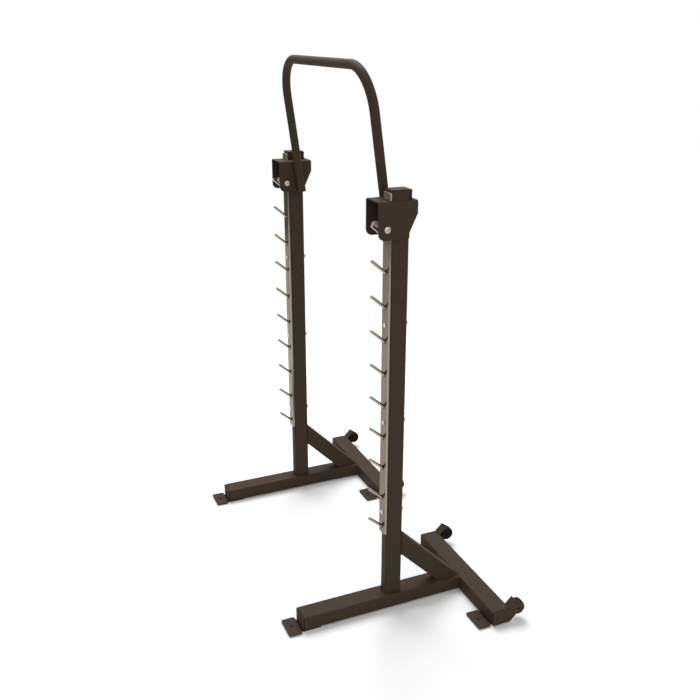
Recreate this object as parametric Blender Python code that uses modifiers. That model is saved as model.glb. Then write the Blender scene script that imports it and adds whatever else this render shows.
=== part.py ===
# Pair of squat stands joined by a lift-off arch, in metres, +Z up.
#
# Places below are measured from three planes: X from the front face of the posts
# (plus towards the wheels), Y from the plane halfway between the two stands, and
# Z from the top face of the legs. One empty carries the whole model from there to
# its own origin, in the middle of its footprint on the floor.

import math

import bmesh
import bpy
from mathutils import Matrix, Vector

# Room left between pieces that touch, and how far fused shapes sink into each other
FIT_GAP = 0.0003
FUSE_DEPTH = 0.0004

# Two stands, side by side
STAND_PITCH = 1.1527

# Base: a leg and a cross tube of one flat section
BASE_WIDTH = 0.0855
BASE_HEIGHT = 0.0632
BASE_CORNER = 0.005
BASE_WALL = 0.003
LEG_FRONT = -0.3915
LEG_CAP = 0.004
CROSS_FRONT = 0.364
CROSS_LENGTH = 0.6667
END_PLATE = 0.006

# Upright post
POST_DEPTH = 0.076
POST_WIDTH = 0.050
POST_HEIGHT = 1.7647
POST_CORNER = 0.006
POST_WALL = 0.003

# Brace behind the post, at 45 degrees
BRACE_DEPTH = 0.079
BRACE_TOP = 0.293
BRACE_ANGLE = math.radians(45)

# Catch strip on the post's front, with its welded pins
STRIP_THICKNESS = 0.0092
STRIP_WIDTH = 0.057
STRIP_BOTTOM = 0.300
STRIP_BELOW_TOP = 0.0052
STRIP_CORNER = 0.009
PIN_PITCH = 0.1397
PIN_RADIUS = 0.00635
PIN_REACH = 0.0611
PIN_FIRST_RISE = 0.0346
PIN_BELOW_BOLT = 0.0262
TOP_PIN_DROP = 0.0048
PIN_CHAMFER = 0.0012
PIN_ANGLE = math.radians(40.5)

# Bolts that hold the strip, through the post, spread from the lowest to the top pin
STRIP_BOLT_COUNT = 4
STRIP_BOLT_RISE = 0.0678
STRIP_BOLT_RADIUS = 0.005
STRIP_HEAD_RADIUS = 0.0095
STRIP_HEAD_HEIGHT = 0.0052
STRIP_HEAD_RIM = 0.0016
STRIP_NUT_FLATS = 0.017
STRIP_NUT_HEIGHT = 0.008
NUT_FLANGE_RADIUS = 0.0105
NUT_FLANGE = 0.002
NUT_CHAMFER = 0.001
BOLT_TAIL = 0.003
BOLT_CHAMFER = 0.001

# Saddle bracket that drops over the post and carries the arch
BRACKET_PLATE = 0.005
BRACKET_BEND = 0.011
BRACKET_BELOW_TOP = 0.0332
BRACKET_HEIGHT = 0.145
BRACKET_FRONT = -0.0607
BRACKET_BEHIND_POST = 0.0249
BRACKET_TOE = 0.0673
BRACKET_TOE_HEIGHT = 0.023
BRACKET_REAR_HEIGHT = 0.0513
BRACKET_FRONT_CORNER = 0.026
BRACKET_REAR_CORNER = 0.008
BRACKET_TOE_CORNER = 0.006
CHEEK_CLEARANCE = 0.0082
CHEEK_FAR_INSIDE = 0.0695
SADDLE_CLEARANCE = 0.0009

# Bolt across the bracket, in front of the strip
SADDLE_BOLT_RISE = 0.041
SADDLE_BOLT_CLEARANCE = 0.0019
SADDLE_BOLT_RADIUS = 0.006
SADDLE_HEAD_RADIUS = 0.014
SADDLE_HEAD_HEIGHT = 0.006
SADDLE_HEAD_RIM = 0.0036
SADDLE_NUT_FLATS = 0.0225
SADDLE_NUT_HEIGHT = 0.010
SADDLE_WASHER_RADIUS = 0.0140
SADDLE_WASHER = 0.0025

# Hood over the post's top
HOOD_PLATE = 0.0055
HOOD_EDGE = 0.004
HOOD_LIP = 0.002
HOOD_CLEARANCE = 0.0004

# Arch: one bent tube, leaning forwards
ARCH_RADIUS = 0.01905
ARCH_WALL = 0.0026
ARCH_BEND = 0.168
ARCH_LEAN = math.radians(7.98)
ARCH_FOOT_RISE = 0.0015
ARCH_FOOT_X = 0.0443
ARCH_ABOVE_BRACKET = 0.4684

# Wheels and their brackets, at both ends of each cross tube
WHEEL_RADIUS = 0.03175
WHEEL_WIDTH = 0.032
WHEEL_ROUND = 0.004
WHEEL_TO_TUBE = 0.00925
WHEEL_BELOW = 0.008
WHEEL_STANDOFF = 0.002
HUB_RADIUS = 0.012
AXLE_RADIUS = 0.005
AXLE_HEAD_RADIUS = 0.007
AXLE_HEAD = 0.0036
AXLE_CHAMFER = 0.0008
AXLE_SINK = 0.0006
ARM_END_RADIUS = 0.028
ARM_TIP_REACH = 0.0465
ARM_TIP_RISE = 0.0055
GUARD_LENGTH = 0.0415
GUARD_PAST_WHEEL = 0.0025
GUARD_PLATE = 0.005
GUARD_ANGLE = math.radians(45)

# Floor anchor plates and rubber pads
ANCHOR_PLATE = 0.006
ANCHOR_LENGTH = 0.065
ANCHOR_WIDTH = 0.112
ANCHOR_HOLE_RADIUS = 0.007
ANCHOR_HOLE_BACK = 0.0365
ANCHOR_CORNER = 0.006
ANCHOR_WELD_CORNER = 0.010
PAD_THICKNESS = 0.005
PAD_LENGTH = 0.083
PAD_INSET = 0.0012
PAD_CORNER = 0.004

# Facets
ROUND_SIDES = 20
SMALL_SIDES = 12
ARCH_BEND_STEPS = 10
ARCH_RESOLUTION = 8
ARCH_BORE_RESOLUTION = 4
ARM_END_STEPS = 14
CORNER_STEPS = 3
DOME_STEPS = 3
OVERRUN = 0.02

# Places that follow from the sizes
CROSS_REAR = CROSS_FRONT + BASE_WIDTH
CROSS_HALF = CROSS_LENGTH / 2
TUBE_HALF = CROSS_HALF - END_PLATE
AXLE_X = CROSS_REAR + WHEEL_TO_TUBE + WHEEL_RADIUS
AXLE_Z = -WHEEL_BELOW
GUARD_WIDTH = END_PLATE + WHEEL_STANDOFF + WHEEL_WIDTH + GUARD_PAST_WHEEL
STRIP_REAR = -FIT_GAP
STRIP_FRONT = STRIP_REAR - STRIP_THICKNESS
STRIP_TOP = POST_HEIGHT - STRIP_BELOW_TOP
BRACKET_TOP = POST_HEIGHT - BRACKET_BELOW_TOP
BRACKET_BOTTOM = BRACKET_TOP - BRACKET_HEIGHT
BRACKET_REAR = POST_DEPTH + BRACKET_BEHIND_POST
CHEEK_NEAR_INSIDE = STRIP_WIDTH / 2 + CHEEK_CLEARANCE
CHEEK_NEAR = CHEEK_NEAR_INSIDE + BRACKET_PLATE
CHEEK_FAR = CHEEK_FAR_INSIDE + BRACKET_PLATE
SADDLE_BOLT_X = STRIP_FRONT - SADDLE_BOLT_CLEARANCE - SADDLE_WASHER_RADIUS
SADDLE_BOLT_Z = BRACKET_BOTTOM + SADDLE_BOLT_RISE
ARCH_FOOT = BRACKET_BOTTOM + ARCH_FOOT_RISE
ARCH_TOP = BRACKET_TOP + ARCH_ABOVE_BRACKET
ARCH_LEG_OFFSET = CHEEK_FAR + FIT_GAP + ARCH_RADIUS
ANCHOR_FRONT = LEG_FRONT - ANCHOR_LENGTH
MODEL_FRONT = ANCHOR_FRONT
MODEL_REAR = AXLE_X + WHEEL_RADIUS
FLOOR = -BASE_HEIGHT - PAD_THICKNESS

# Turns that lay a flat outline into a plane
PLANE_TURNS = {
    "XZ": (math.pi / 2, 0, 0),
    "YZ": (math.pi / 2, 0, math.pi / 2),
}


def clear_scene():
    for old in list(bpy.data.objects):
        bpy.data.objects.remove(old, do_unlink=True)


def new_collection(name):
    made = bpy.data.collections.new(name)
    bpy.context.scene.collection.children.link(made)
    return made


def srgb_to_linear(channel):
    if channel <= 0.04045:
        return channel / 12.92
    return ((channel + 0.055) / 1.055) ** 2.4


def make_material(name, colour, roughness, metallic):
    """A Principled BSDF material from an sRGB hex colour."""
    material = bpy.data.materials.new(name)
    material.use_nodes = True
    shader = material.node_tree.nodes["Principled BSDF"]
    channels = [int(colour[i : i + 2], 16) / 255 for i in (1, 3, 5)]
    shader.inputs["Base Color"].default_value = [srgb_to_linear(c) for c in channels] + [1]
    shader.inputs["Roughness"].default_value = roughness
    shader.inputs["Metallic"].default_value = metallic
    return material


clear_scene()
parts = new_collection("squat_stand")
cutters = new_collection("cutters")
origin = bpy.data.objects.new("model_origin", None)
origin.location = (-(MODEL_FRONT + MODEL_REAR) / 2, 0, -FLOOR)
parts.objects.link(origin)

powder_coat = make_material("powder_coat", "#3C3229", 0.45, 0.0)
strip_steel = make_material("strip_steel", "#8C8070", 0.35, 0.9)
bright_steel = make_material("bright_steel", "#C8C0B6", 0.3, 1.0)
zinc_steel = make_material("zinc_steel", "#CFC6A8", 0.3, 1.0)
dark_steel = make_material("dark_steel", "#2A2622", 0.4, 0.8)
wheel_plastic = make_material("wheel_plastic", "#1A1512", 0.55, 0.0)
black_rubber = make_material("black_rubber", "#181614", 0.8, 0.0)


def place(obj, material, location=(0, 0, 0), rotation=(0, 0, 0)):
    """Puts a finished piece in the model, carried by the origin empty."""
    parts.objects.link(obj)
    obj.parent = origin
    obj.location = location
    obj.rotation_euler = rotation
    obj.data.materials.append(material)
    return obj


def place_tool(obj, location=(0, 0, 0), rotation=(0, 0, 0)):
    """Puts a shape that only cuts or joins others in the cutters' collection."""
    cutters.objects.link(obj)
    obj.parent = origin
    obj.location = location
    obj.rotation_euler = rotation
    obj.hide_render = True
    obj.display_type = "WIRE"
    return obj


def combine(target, operation, tool):
    step = target.modifiers.new(operation.lower() + "_" + tool.name, "BOOLEAN")
    step.operation = operation
    step.solver = "EXACT"
    step.object = tool


def object_from(name, bm):
    mesh = bpy.data.meshes.new(name)
    bm.to_mesh(mesh)
    bm.free()
    return bpy.data.objects.new(name, mesh)


def smooth_round(obj):
    obj.data.shade_smooth()
    obj.data.set_sharp_from_angle(angle=math.radians(35))


def bar(name, size, along=0, corner=0.0):
    """A bar centred on its origin, its edges along one axis rounded by corner."""
    bm = bmesh.new()
    bmesh.ops.create_cube(bm, size=1)
    bmesh.ops.scale(bm, vec=Vector(size), verts=bm.verts)
    if corner:
        long_edges = [
            edge
            for edge in bm.edges
            if abs((edge.verts[0].co - edge.verts[1].co)[along]) > size[along] / 2
        ]
        bmesh.ops.bevel(
            bm, geom=long_edges, offset=corner, segments=CORNER_STEPS, profile=0.5, affect="EDGES"
        )
    return object_from(name, bm)


def block_tool(name, low, high):
    """A cutting block from its lowest to its highest corner."""
    size = [b - a for a, b in zip(low, high)]
    middle = [(a + b) / 2 for a, b in zip(low, high)]
    return place_tool(bar(name, size), middle)


def rods(name, radius, ends, sides=SMALL_SIDES):
    """Round rods, one for each pair of end points, in one mesh."""
    bm = bmesh.new()
    for start, end in ends:
        run = Vector(end) - Vector(start)
        turn = Vector((0, 0, 1)).rotation_difference(run).to_matrix().to_4x4()
        middle = Matrix.Translation((Vector(start) + Vector(end)) / 2)
        bmesh.ops.create_cone(
            bm,
            cap_ends=True,
            segments=sides,
            radius1=radius,
            radius2=radius,
            depth=run.length,
            matrix=middle @ turn,
        )
    return object_from(name, bm)


def arc(centre, radius, start, end, steps):
    """Points along an arc, from one angle to the other, both included."""
    turns = [start + (end - start) * i / steps for i in range(steps + 1)]
    return [(centre[0] + radius * math.cos(t), centre[1] + radius * math.sin(t)) for t in turns]


def outline(corners, steps=CORNER_STEPS + 1):
    """A closed outline through corners (u, v, radius), each rounded by its radius."""
    points = []
    for i, (u, v, radius) in enumerate(corners):
        here = Vector((u, v))
        if not radius:
            points.append((u, v))
            continue
        back = (Vector(corners[i - 1][:2]) - here).normalized()
        ahead = (Vector(corners[(i + 1) % len(corners)][:2]) - here).normalized()
        half = back.angle(ahead) / 2
        reach = radius / math.tan(half)
        centre = here + (back + ahead).normalized() * radius / math.sin(half)
        first = here + back * reach - centre
        last = here + ahead * reach - centre
        swing = first.angle_signed(last)
        for k in range(steps + 1):
            turned = Matrix.Rotation(-swing * k / steps, 2) @ first
            points.append(tuple(centre + turned))
    return points


def circle(centre, radius, sides=SMALL_SIDES):
    return arc(centre, radius, 0, 2 * math.pi * (1 - 1 / sides), sides - 1)


def mesh_from_curve(curve_object):
    """The curve's own surface as a mesh object, with its loose caps welded on."""
    bpy.context.scene.collection.objects.link(curve_object)
    bpy.context.view_layer.update()
    graph = bpy.context.evaluated_depsgraph_get()
    mesh = bpy.data.meshes.new_from_object(curve_object.evaluated_get(graph))
    bm = bmesh.new()
    bm.from_mesh(mesh)
    bmesh.ops.remove_doubles(bm, verts=bm.verts, dist=0.000001)
    bmesh.ops.recalc_face_normals(bm, faces=bm.faces)
    bm.to_mesh(mesh)
    bm.free()
    made = bpy.data.objects.new(curve_object.name, mesh)
    made.matrix_world = curve_object.matrix_world
    bpy.data.objects.remove(curve_object, do_unlink=True)
    return made


def plate(name, loops, thickness):
    """A flat plate from closed loops, the first its rim and the rest its holes."""
    curve = bpy.data.curves.new(name + "_outline", "CURVE")
    curve.dimensions = "2D"
    curve.fill_mode = "BOTH"
    curve.extrude = thickness / 2
    for loop in loops:
        spline = curve.splines.new("POLY")
        spline.points.add(len(loop) - 1)
        for point, (u, v) in zip(spline.points, loop):
            point.co = (u, v, 0, 1)
        spline.use_cyclic_u = True
    made = mesh_from_curve(bpy.data.objects.new(name + "_outline", curve))
    made.name = name
    return made


def turned(name, profile, closed=False, sides=ROUND_SIDES):
    """A turned piece: a profile of (radius, height) points taken round the Z axis."""
    mesh = bpy.data.meshes.new(name)
    edges = [(i, i + 1) for i in range(len(profile) - 1)]
    if closed:
        edges.append((len(profile) - 1, 0))
    mesh.from_pydata([(radius, 0, height) for radius, height in profile], edges, [])
    obj = bpy.data.objects.new(name, mesh)
    screw = obj.modifiers.new("turn", "SCREW")
    screw.axis = "Z"
    screw.steps = sides
    screw.render_steps = sides
    screw.use_smooth_shade = True
    screw.use_merge_vertices = True
    screw.merge_threshold = 0.00001
    return obj


def domed_bolt(name, head_radius, head_height, shank_radius, shank_length, rim):
    """A bolt along Z: the underside of its low domed head lies at height 0."""
    dome = [
        (head_radius * math.cos(t), rim + (head_height - rim) * math.sin(t))
        for t in [math.pi / 2 * (1 - i / DOME_STEPS) for i in range(DOME_STEPS + 1)]
    ]
    dome[0] = (0, head_height)
    shank = [
        (head_radius, 0),
        (shank_radius, 0),
        (shank_radius, -shank_length + BOLT_CHAMFER),
        (shank_radius - BOLT_CHAMFER, -shank_length),
        (0, -shank_length),
    ]
    return turned(name, dome + shank, sides=SMALL_SIDES)


def add_nut(name, flats, height, flange_radius, flange, bore_radius, material, location, rotation):
    """A hex nut on its round flange, which rests on the plane of its origin."""
    bm = bmesh.new()
    bmesh.ops.create_cone(
        bm,
        cap_ends=True,
        segments=6,
        radius1=flats / math.sqrt(3),
        radius2=flats / math.sqrt(3),
        depth=height,
        matrix=Matrix.Translation((0, 0, flange + height / 2)),
    )
    rim = [e for e in bm.edges if min(v.co.z for v in e.verts) > flange + height / 2]
    bmesh.ops.bevel(bm, geom=rim, offset=NUT_CHAMFER, segments=1, affect="EDGES")
    nut = place(object_from(name, bm), material, location, rotation)
    seat = rods(name + "_flange", flange_radius, [((0, 0, 0), (0, 0, flange + FUSE_DEPTH))])
    bore = rods(name + "_bore", bore_radius, [((0, 0, -OVERRUN), (0, 0, OVERRUN * 2))])
    place_tool(seat, location, rotation)
    place_tool(bore, location, rotation)
    combine(nut, "UNION", seat)
    combine(nut, "DIFFERENCE", bore)
    return nut


def add_leg(side, y):
    """The leg, capped at its free end and open where it meets the cross tube."""
    length = CROSS_FRONT - FIT_GAP - LEG_FRONT
    leg = bar(side + "_leg", (length, BASE_WIDTH, BASE_HEIGHT), 0, BASE_CORNER)
    place(leg, powder_coat, (LEG_FRONT + length / 2, y, -BASE_HEIGHT / 2))
    bore_length = length - LEG_CAP + OVERRUN
    bore_size = (bore_length, BASE_WIDTH - 2 * BASE_WALL, BASE_HEIGHT - 2 * BASE_WALL)
    bore = bar(side + "_leg_bore", bore_size, 0, BASE_CORNER - BASE_WALL)
    place_tool(bore, (LEG_FRONT + LEG_CAP + bore_length / 2, y, -BASE_HEIGHT / 2))
    combine(leg, "DIFFERENCE", bore)


def add_cross_tube(side, y):
    length = 2 * (TUBE_HALF - FIT_GAP)
    middle = (CROSS_FRONT + BASE_WIDTH / 2, y, -BASE_HEIGHT / 2)
    tube = bar(side + "_cross_tube", (BASE_WIDTH, length, BASE_HEIGHT), 1, BASE_CORNER)
    place(tube, powder_coat, middle)
    bore_size = (BASE_WIDTH - 2 * BASE_WALL, length + OVERRUN, BASE_HEIGHT - 2 * BASE_WALL)
    bore = bar(side + "_cross_bore", bore_size, 1, BASE_CORNER - BASE_WALL)
    place_tool(bore, middle)
    combine(tube, "DIFFERENCE", bore)


def wheel_arm_outline():
    """The end plate seen from the side: the tube's end with an arm up to the wheel.

    The arm's upper edge rises a little past the guard, its far end is round about the axle.
    """
    axle = Vector((AXLE_X, AXLE_Z))
    slope = Vector((math.cos(GUARD_ANGLE), math.sin(GUARD_ANGLE)))
    guard_root = Vector((CROSS_REAR, 0))
    arm_tip = guard_root + slope * ARM_TIP_REACH + slope.orthogonal() * ARM_TIP_RISE
    to_tip = arm_tip - axle
    towards_tip = math.atan2(to_tip.y, to_tip.x)
    leave = towards_tip - math.acos(ARM_END_RADIUS / to_tip.length)
    low_corner = Vector((CROSS_REAR, -BASE_HEIGHT))
    along = (axle - low_corner).dot(slope)
    aside = (axle - low_corner - slope * along).length
    chord = math.sqrt(ARM_END_RADIUS**2 - aside**2)
    meet = low_corner + slope * (along - chord) - axle
    arrive = math.atan2(meet.y, meet.x)
    lobe = arc(axle, ARM_END_RADIUS, leave, arrive, ARM_END_STEPS)
    corners = [
        (CROSS_REAR, -BASE_HEIGHT, 0),
        (CROSS_FRONT, -BASE_HEIGHT, BASE_CORNER),
        (CROSS_FRONT, 0, BASE_CORNER),
        (guard_root.x, guard_root.y, 0),
        (arm_tip.x, arm_tip.y, 0),
    ]
    return outline(corners) + lobe


def add_wheel_end(side, place_name, y, end):
    """The plate on one end of a cross tube, with its guard, its axle and its wheel."""
    prefix = side + "_" + place_name
    plate_y = y + end * (CROSS_HALF - END_PLATE / 2)
    end_plate = plate(prefix + "_wheel_bracket", [wheel_arm_outline()], END_PLATE)
    place(end_plate, powder_coat, (0, plate_y, 0), PLANE_TURNS["XZ"])

    guard_size = (GUARD_LENGTH, GUARD_WIDTH, GUARD_PLATE)
    guard = bar(prefix + "_guard", guard_size)
    along = Vector((math.cos(GUARD_ANGLE), 0, math.sin(GUARD_ANGLE)))
    across = Vector((-along.z, 0, along.x))
    root = Vector((CROSS_REAR, y + end * (CROSS_HALF - GUARD_WIDTH / 2), 0))
    middle = root + along * (GUARD_LENGTH / 2 + FIT_GAP)
    middle = middle + across * (GUARD_PLATE / 2 - FUSE_DEPTH)
    place_tool(guard, middle, (0, -GUARD_ANGLE, 0))
    combine(end_plate, "UNION", guard)

    hole_ends = [((0, -OVERRUN, 0), (0, OVERRUN, 0))]
    hole = rods(prefix + "_axle_hole", AXLE_RADIUS + FIT_GAP, hole_ends, ROUND_SIDES)
    place_tool(hole, (AXLE_X, plate_y, AXLE_Z))
    combine(end_plate, "DIFFERENCE", hole)

    hub = (AXLE_X, y + end * TUBE_HALF, AXLE_Z)
    inwards = (end * math.pi / 2, 0, 0)
    tread_end = WHEEL_STANDOFF + WHEEL_WIDTH
    bore = AXLE_RADIUS + FIT_GAP
    recess = AXLE_HEAD_RADIUS + 2 * FIT_GAP
    recess_floor = tread_end - AXLE_HEAD - 3 * FIT_GAP
    steps = [math.pi / 2 * i / CORNER_STEPS for i in range(CORNER_STEPS + 1)]
    rounding = WHEEL_RADIUS - WHEEL_ROUND
    upper = [
        (rounding + WHEEL_ROUND * math.sin(t), tread_end - WHEEL_ROUND * (1 - math.cos(t)))
        for t in steps
    ]
    lower = [
        (rounding + WHEEL_ROUND * math.cos(t), WHEEL_STANDOFF + WHEEL_ROUND * (1 - math.sin(t)))
        for t in steps
    ]
    profile = (
        [(recess, tread_end)]
        + upper
        + lower
        + [
            (HUB_RADIUS, WHEEL_STANDOFF),
            (HUB_RADIUS, FIT_GAP),
            (bore, FIT_GAP),
            (bore, recess_floor),
            (recess, recess_floor),
        ]
    )
    wheel = turned(prefix + "_wheel", profile, closed=True)
    place(wheel, wheel_plastic, hub, inwards)

    head_low = recess_floor + FIT_GAP
    axle_profile = [
        (0, head_low + AXLE_HEAD),
        (AXLE_HEAD_RADIUS - AXLE_CHAMFER, head_low + AXLE_HEAD),
        (AXLE_HEAD_RADIUS, head_low + AXLE_HEAD - AXLE_CHAMFER),
        (AXLE_HEAD_RADIUS, head_low),
        (AXLE_RADIUS, head_low),
        (AXLE_RADIUS, AXLE_SINK - END_PLATE),
        (0, AXLE_SINK - END_PLATE),
    ]
    axle = turned(prefix + "_axle", axle_profile, sides=SMALL_SIDES)
    place(axle, dark_steel, hub, inwards)


def anchor_outline(length, width):
    """An anchor plate: its free end towards -X, its two softer corners at the weld."""
    corners = [
        (-length / 2, -width / 2, ANCHOR_CORNER),
        (length / 2, -width / 2, ANCHOR_WELD_CORNER),
        (length / 2, width / 2, ANCHOR_WELD_CORNER),
        (-length / 2, width / 2, ANCHOR_CORNER),
    ]
    return outline(corners)


def add_anchor_plate(name, weld_x, y):
    """A floor anchor plate, welded by its edge at weld_x to the tube behind it."""
    length = ANCHOR_LENGTH - FIT_GAP
    middle_x = weld_x - FIT_GAP - length / 2
    hole = circle((weld_x - ANCHOR_HOLE_BACK - middle_x, 0), ANCHOR_HOLE_RADIUS)
    made = plate(name, [anchor_outline(length, ANCHOR_WIDTH), hole], ANCHOR_PLATE)
    place(made, powder_coat, (middle_x, y, -BASE_HEIGHT + ANCHOR_PLATE / 2))


def add_pad(name, x, y, turn=0):
    """A rubber pad under a tube that runs along X, or turned, along Y."""
    half_length = PAD_LENGTH / 2
    half_width = BASE_WIDTH / 2 - PAD_INSET
    corners = [
        (-half_length, -half_width, PAD_CORNER),
        (half_length, -half_width, PAD_CORNER),
        (half_length, half_width, PAD_CORNER),
        (-half_length, half_width, PAD_CORNER),
    ]
    height = PAD_THICKNESS - FIT_GAP
    made = plate(name, [outline(corners)], height)
    place(made, black_rubber, (x, y, FLOOR + height / 2), (0, 0, turn))


def pin_roots():
    """Heights at which the pins leave the strip, up to the bracket's cross bolt."""
    first = STRIP_BOTTOM + PIN_FIRST_RISE
    room = SADDLE_BOLT_Z - PIN_BELOW_BOLT - first
    return [first + i * PIN_PITCH for i in range(int(room / PIN_PITCH) + 1)]


def strip_bolt_heights():
    """Heights of the strip's bolts, each a set rise above one of the pins."""
    roots = pin_roots()
    step = (len(roots) - 1) / (STRIP_BOLT_COUNT - 1)
    return [roots[round(i * step)] + STRIP_BOLT_RISE for i in range(STRIP_BOLT_COUNT)]


def add_post(side, y):
    """The upright: a tube with a row of through holes for the strip's bolts."""
    length = POST_HEIGHT - FIT_GAP
    middle = (POST_DEPTH / 2, y, FIT_GAP + length / 2)
    post = bar(side + "_upright", (POST_DEPTH, POST_WIDTH, length), 2, POST_CORNER)
    place(post, powder_coat, middle)
    bore_size = (POST_DEPTH - 2 * POST_WALL, POST_WIDTH - 2 * POST_WALL, length + OVERRUN)
    bore = bar(side + "_upright_bore", bore_size, 2, POST_CORNER - POST_WALL)
    place_tool(bore, middle)
    combine(post, "DIFFERENCE", bore)
    ends = [((-OVERRUN, 0, z), (POST_DEPTH + OVERRUN, 0, z)) for z in strip_bolt_heights()]
    holes = rods(side + "_upright_holes", STRIP_BOLT_RADIUS + FIT_GAP, ends)
    place_tool(holes, (0, y, 0))
    combine(post, "DIFFERENCE", holes)


def add_brace(side, y):
    """The brace: the upright's width, mitred to the post's rear and the leg's top."""
    slope = Vector((math.cos(BRACE_ANGLE), 0, -math.sin(BRACE_ANGLE)))
    upper_end = Vector((POST_DEPTH, y, BRACE_TOP))
    length = 2 * BRACE_TOP / math.sin(BRACE_ANGLE)
    inwards = Vector((slope.z, 0, -slope.x))
    middle = upper_end + slope * length / 4 + inwards * BRACE_DEPTH / 2
    turn = (0, BRACE_ANGLE, 0)
    brace = bar(side + "_brace", (length, POST_WIDTH, BRACE_DEPTH), 0, POST_CORNER)
    place(brace, powder_coat, middle, turn)
    bore_size = (length + OVERRUN, POST_WIDTH - 2 * POST_WALL, BRACE_DEPTH - 2 * POST_WALL)
    bore = bar(side + "_brace_bore", bore_size, 0, POST_CORNER - POST_WALL)
    place_tool(bore, middle, turn)
    combine(brace, "DIFFERENCE", bore)
    low = (POST_DEPTH + FIT_GAP, y - POST_WIDTH, FIT_GAP)
    high = (POST_DEPTH + length, y + POST_WIDTH, length)
    combine(brace, "INTERSECT", block_tool(side + "_brace_mitre", low, high))


def pins_mesh(name):
    """The welded pins, each from inside the strip up to its chamfered tip.

    The top one sits a little low, so that the bracket's cross bolt has room above it.
    """
    roots = pin_roots()
    roots[-1] -= TOP_PIN_DROP
    slope = Vector((-math.cos(PIN_ANGLE), 0, math.sin(PIN_ANGLE)))
    buried = STRIP_THICKNESS / 2
    reach = PIN_REACH / math.cos(PIN_ANGLE)
    sunk = buried / math.cos(PIN_ANGLE)
    ends = []
    for root in roots:
        face = Vector((STRIP_FRONT, 0, root))
        ends.append((face - slope * sunk, face + slope * reach))
    pins = rods(name, PIN_RADIUS, ends)
    bm = bmesh.new()
    bm.from_mesh(pins.data)
    tip_x = STRIP_FRONT - PIN_REACH + PIN_RADIUS
    rims = [e for e in bm.edges if max(v.co.x for v in e.verts) < tip_x]
    rims = [e for e in rims if abs((e.verts[0].co - e.verts[1].co).dot(slope)) < PIN_RADIUS / 10]
    bmesh.ops.bevel(bm, geom=rims, offset=PIN_CHAMFER, segments=1, affect="EDGES")
    bm.to_mesh(pins.data)
    bm.free()
    return pins


def add_catch_strip(side, y):
    """The steel strip on the post's front, with its welded row of slanted pins."""
    half = STRIP_WIDTH / 2
    corners = [
        (-half, STRIP_BOTTOM, STRIP_CORNER),
        (half, STRIP_BOTTOM, STRIP_CORNER),
        (half, STRIP_TOP, 0),
        (-half, STRIP_TOP, 0),
    ]
    strip = plate(side + "_catch_strip", [outline(corners)], STRIP_THICKNESS)
    place(strip, strip_steel, (STRIP_FRONT + STRIP_THICKNESS / 2, y, 0), PLANE_TURNS["YZ"])
    pins = place_tool(pins_mesh(side + "_pins"), (0, y, 0))
    combine(strip, "UNION", pins)
    ends = [((-OVERRUN * 2, 0, z), (OVERRUN, 0, z)) for z in strip_bolt_heights()]
    holes = rods(side + "_strip_holes", STRIP_BOLT_RADIUS + FIT_GAP, ends)
    place_tool(holes, (0, y, 0))
    combine(strip, "DIFFERENCE", holes)


def add_strip_bolts(side, y):
    """The through bolts of the strip, each with its nut behind the post."""
    head_seat = STRIP_FRONT - FIT_GAP
    nut_seat = POST_DEPTH + FIT_GAP
    shank = nut_seat + NUT_FLANGE + STRIP_NUT_HEIGHT + BOLT_TAIL - head_seat
    for i, z in enumerate(strip_bolt_heights(), 1):
        bolt = domed_bolt(
            side + "_strip_bolt_%d" % i,
            STRIP_HEAD_RADIUS,
            STRIP_HEAD_HEIGHT,
            STRIP_BOLT_RADIUS,
            shank,
            STRIP_HEAD_RIM,
        )
        place(bolt, bright_steel, (head_seat, y, z), (0, -math.pi / 2, 0))
        add_nut(
            side + "_strip_nut_%d" % i,
            STRIP_NUT_FLATS,
            STRIP_NUT_HEIGHT,
            NUT_FLANGE_RADIUS,
            NUT_FLANGE,
            STRIP_BOLT_RADIUS + FIT_GAP,
            bright_steel,
            (nut_seat, y, z),
            (0, math.pi / 2, 0),
        )


def bracket_side_outline():
    """The bracket's cheeks seen from the side."""
    return outline(
        [
            (BRACKET_FRONT, BRACKET_TOP, 0),
            (BRACKET_FRONT, BRACKET_BOTTOM, BRACKET_FRONT_CORNER),
            (BRACKET_TOE, BRACKET_BOTTOM, BRACKET_TOE_CORNER),
            (BRACKET_TOE, BRACKET_BOTTOM + BRACKET_TOE_HEIGHT, 0),
            (BRACKET_REAR, BRACKET_TOP - BRACKET_REAR_HEIGHT, 0),
            (BRACKET_REAR, BRACKET_TOP, BRACKET_REAR_CORNER),
        ]
    )


def bracket_front_outline(inwards):
    """The bracket seen from the front: one plate bent into an upturned U.

    Its near cheek passes close beside the post, its far one reaches inwards.
    """
    bend = BRACKET_BEND
    bend_inside = BRACKET_BEND - BRACKET_PLATE
    foot = BRACKET_BOTTOM - OVERRUN
    crown = BRACKET_TOP - BRACKET_PLATE
    corners = [
        (-CHEEK_NEAR, foot, 0),
        (-CHEEK_NEAR, BRACKET_TOP, bend),
        (CHEEK_FAR, BRACKET_TOP, bend),
        (CHEEK_FAR, foot, 0),
        (CHEEK_FAR_INSIDE, foot, 0),
        (CHEEK_FAR_INSIDE, crown, bend_inside),
        (-CHEEK_NEAR_INSIDE, crown, bend_inside),
        (-CHEEK_NEAR_INSIDE, foot, 0),
    ]
    return outline([(inwards * v, z, radius) for v, z, radius in corners])


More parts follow.
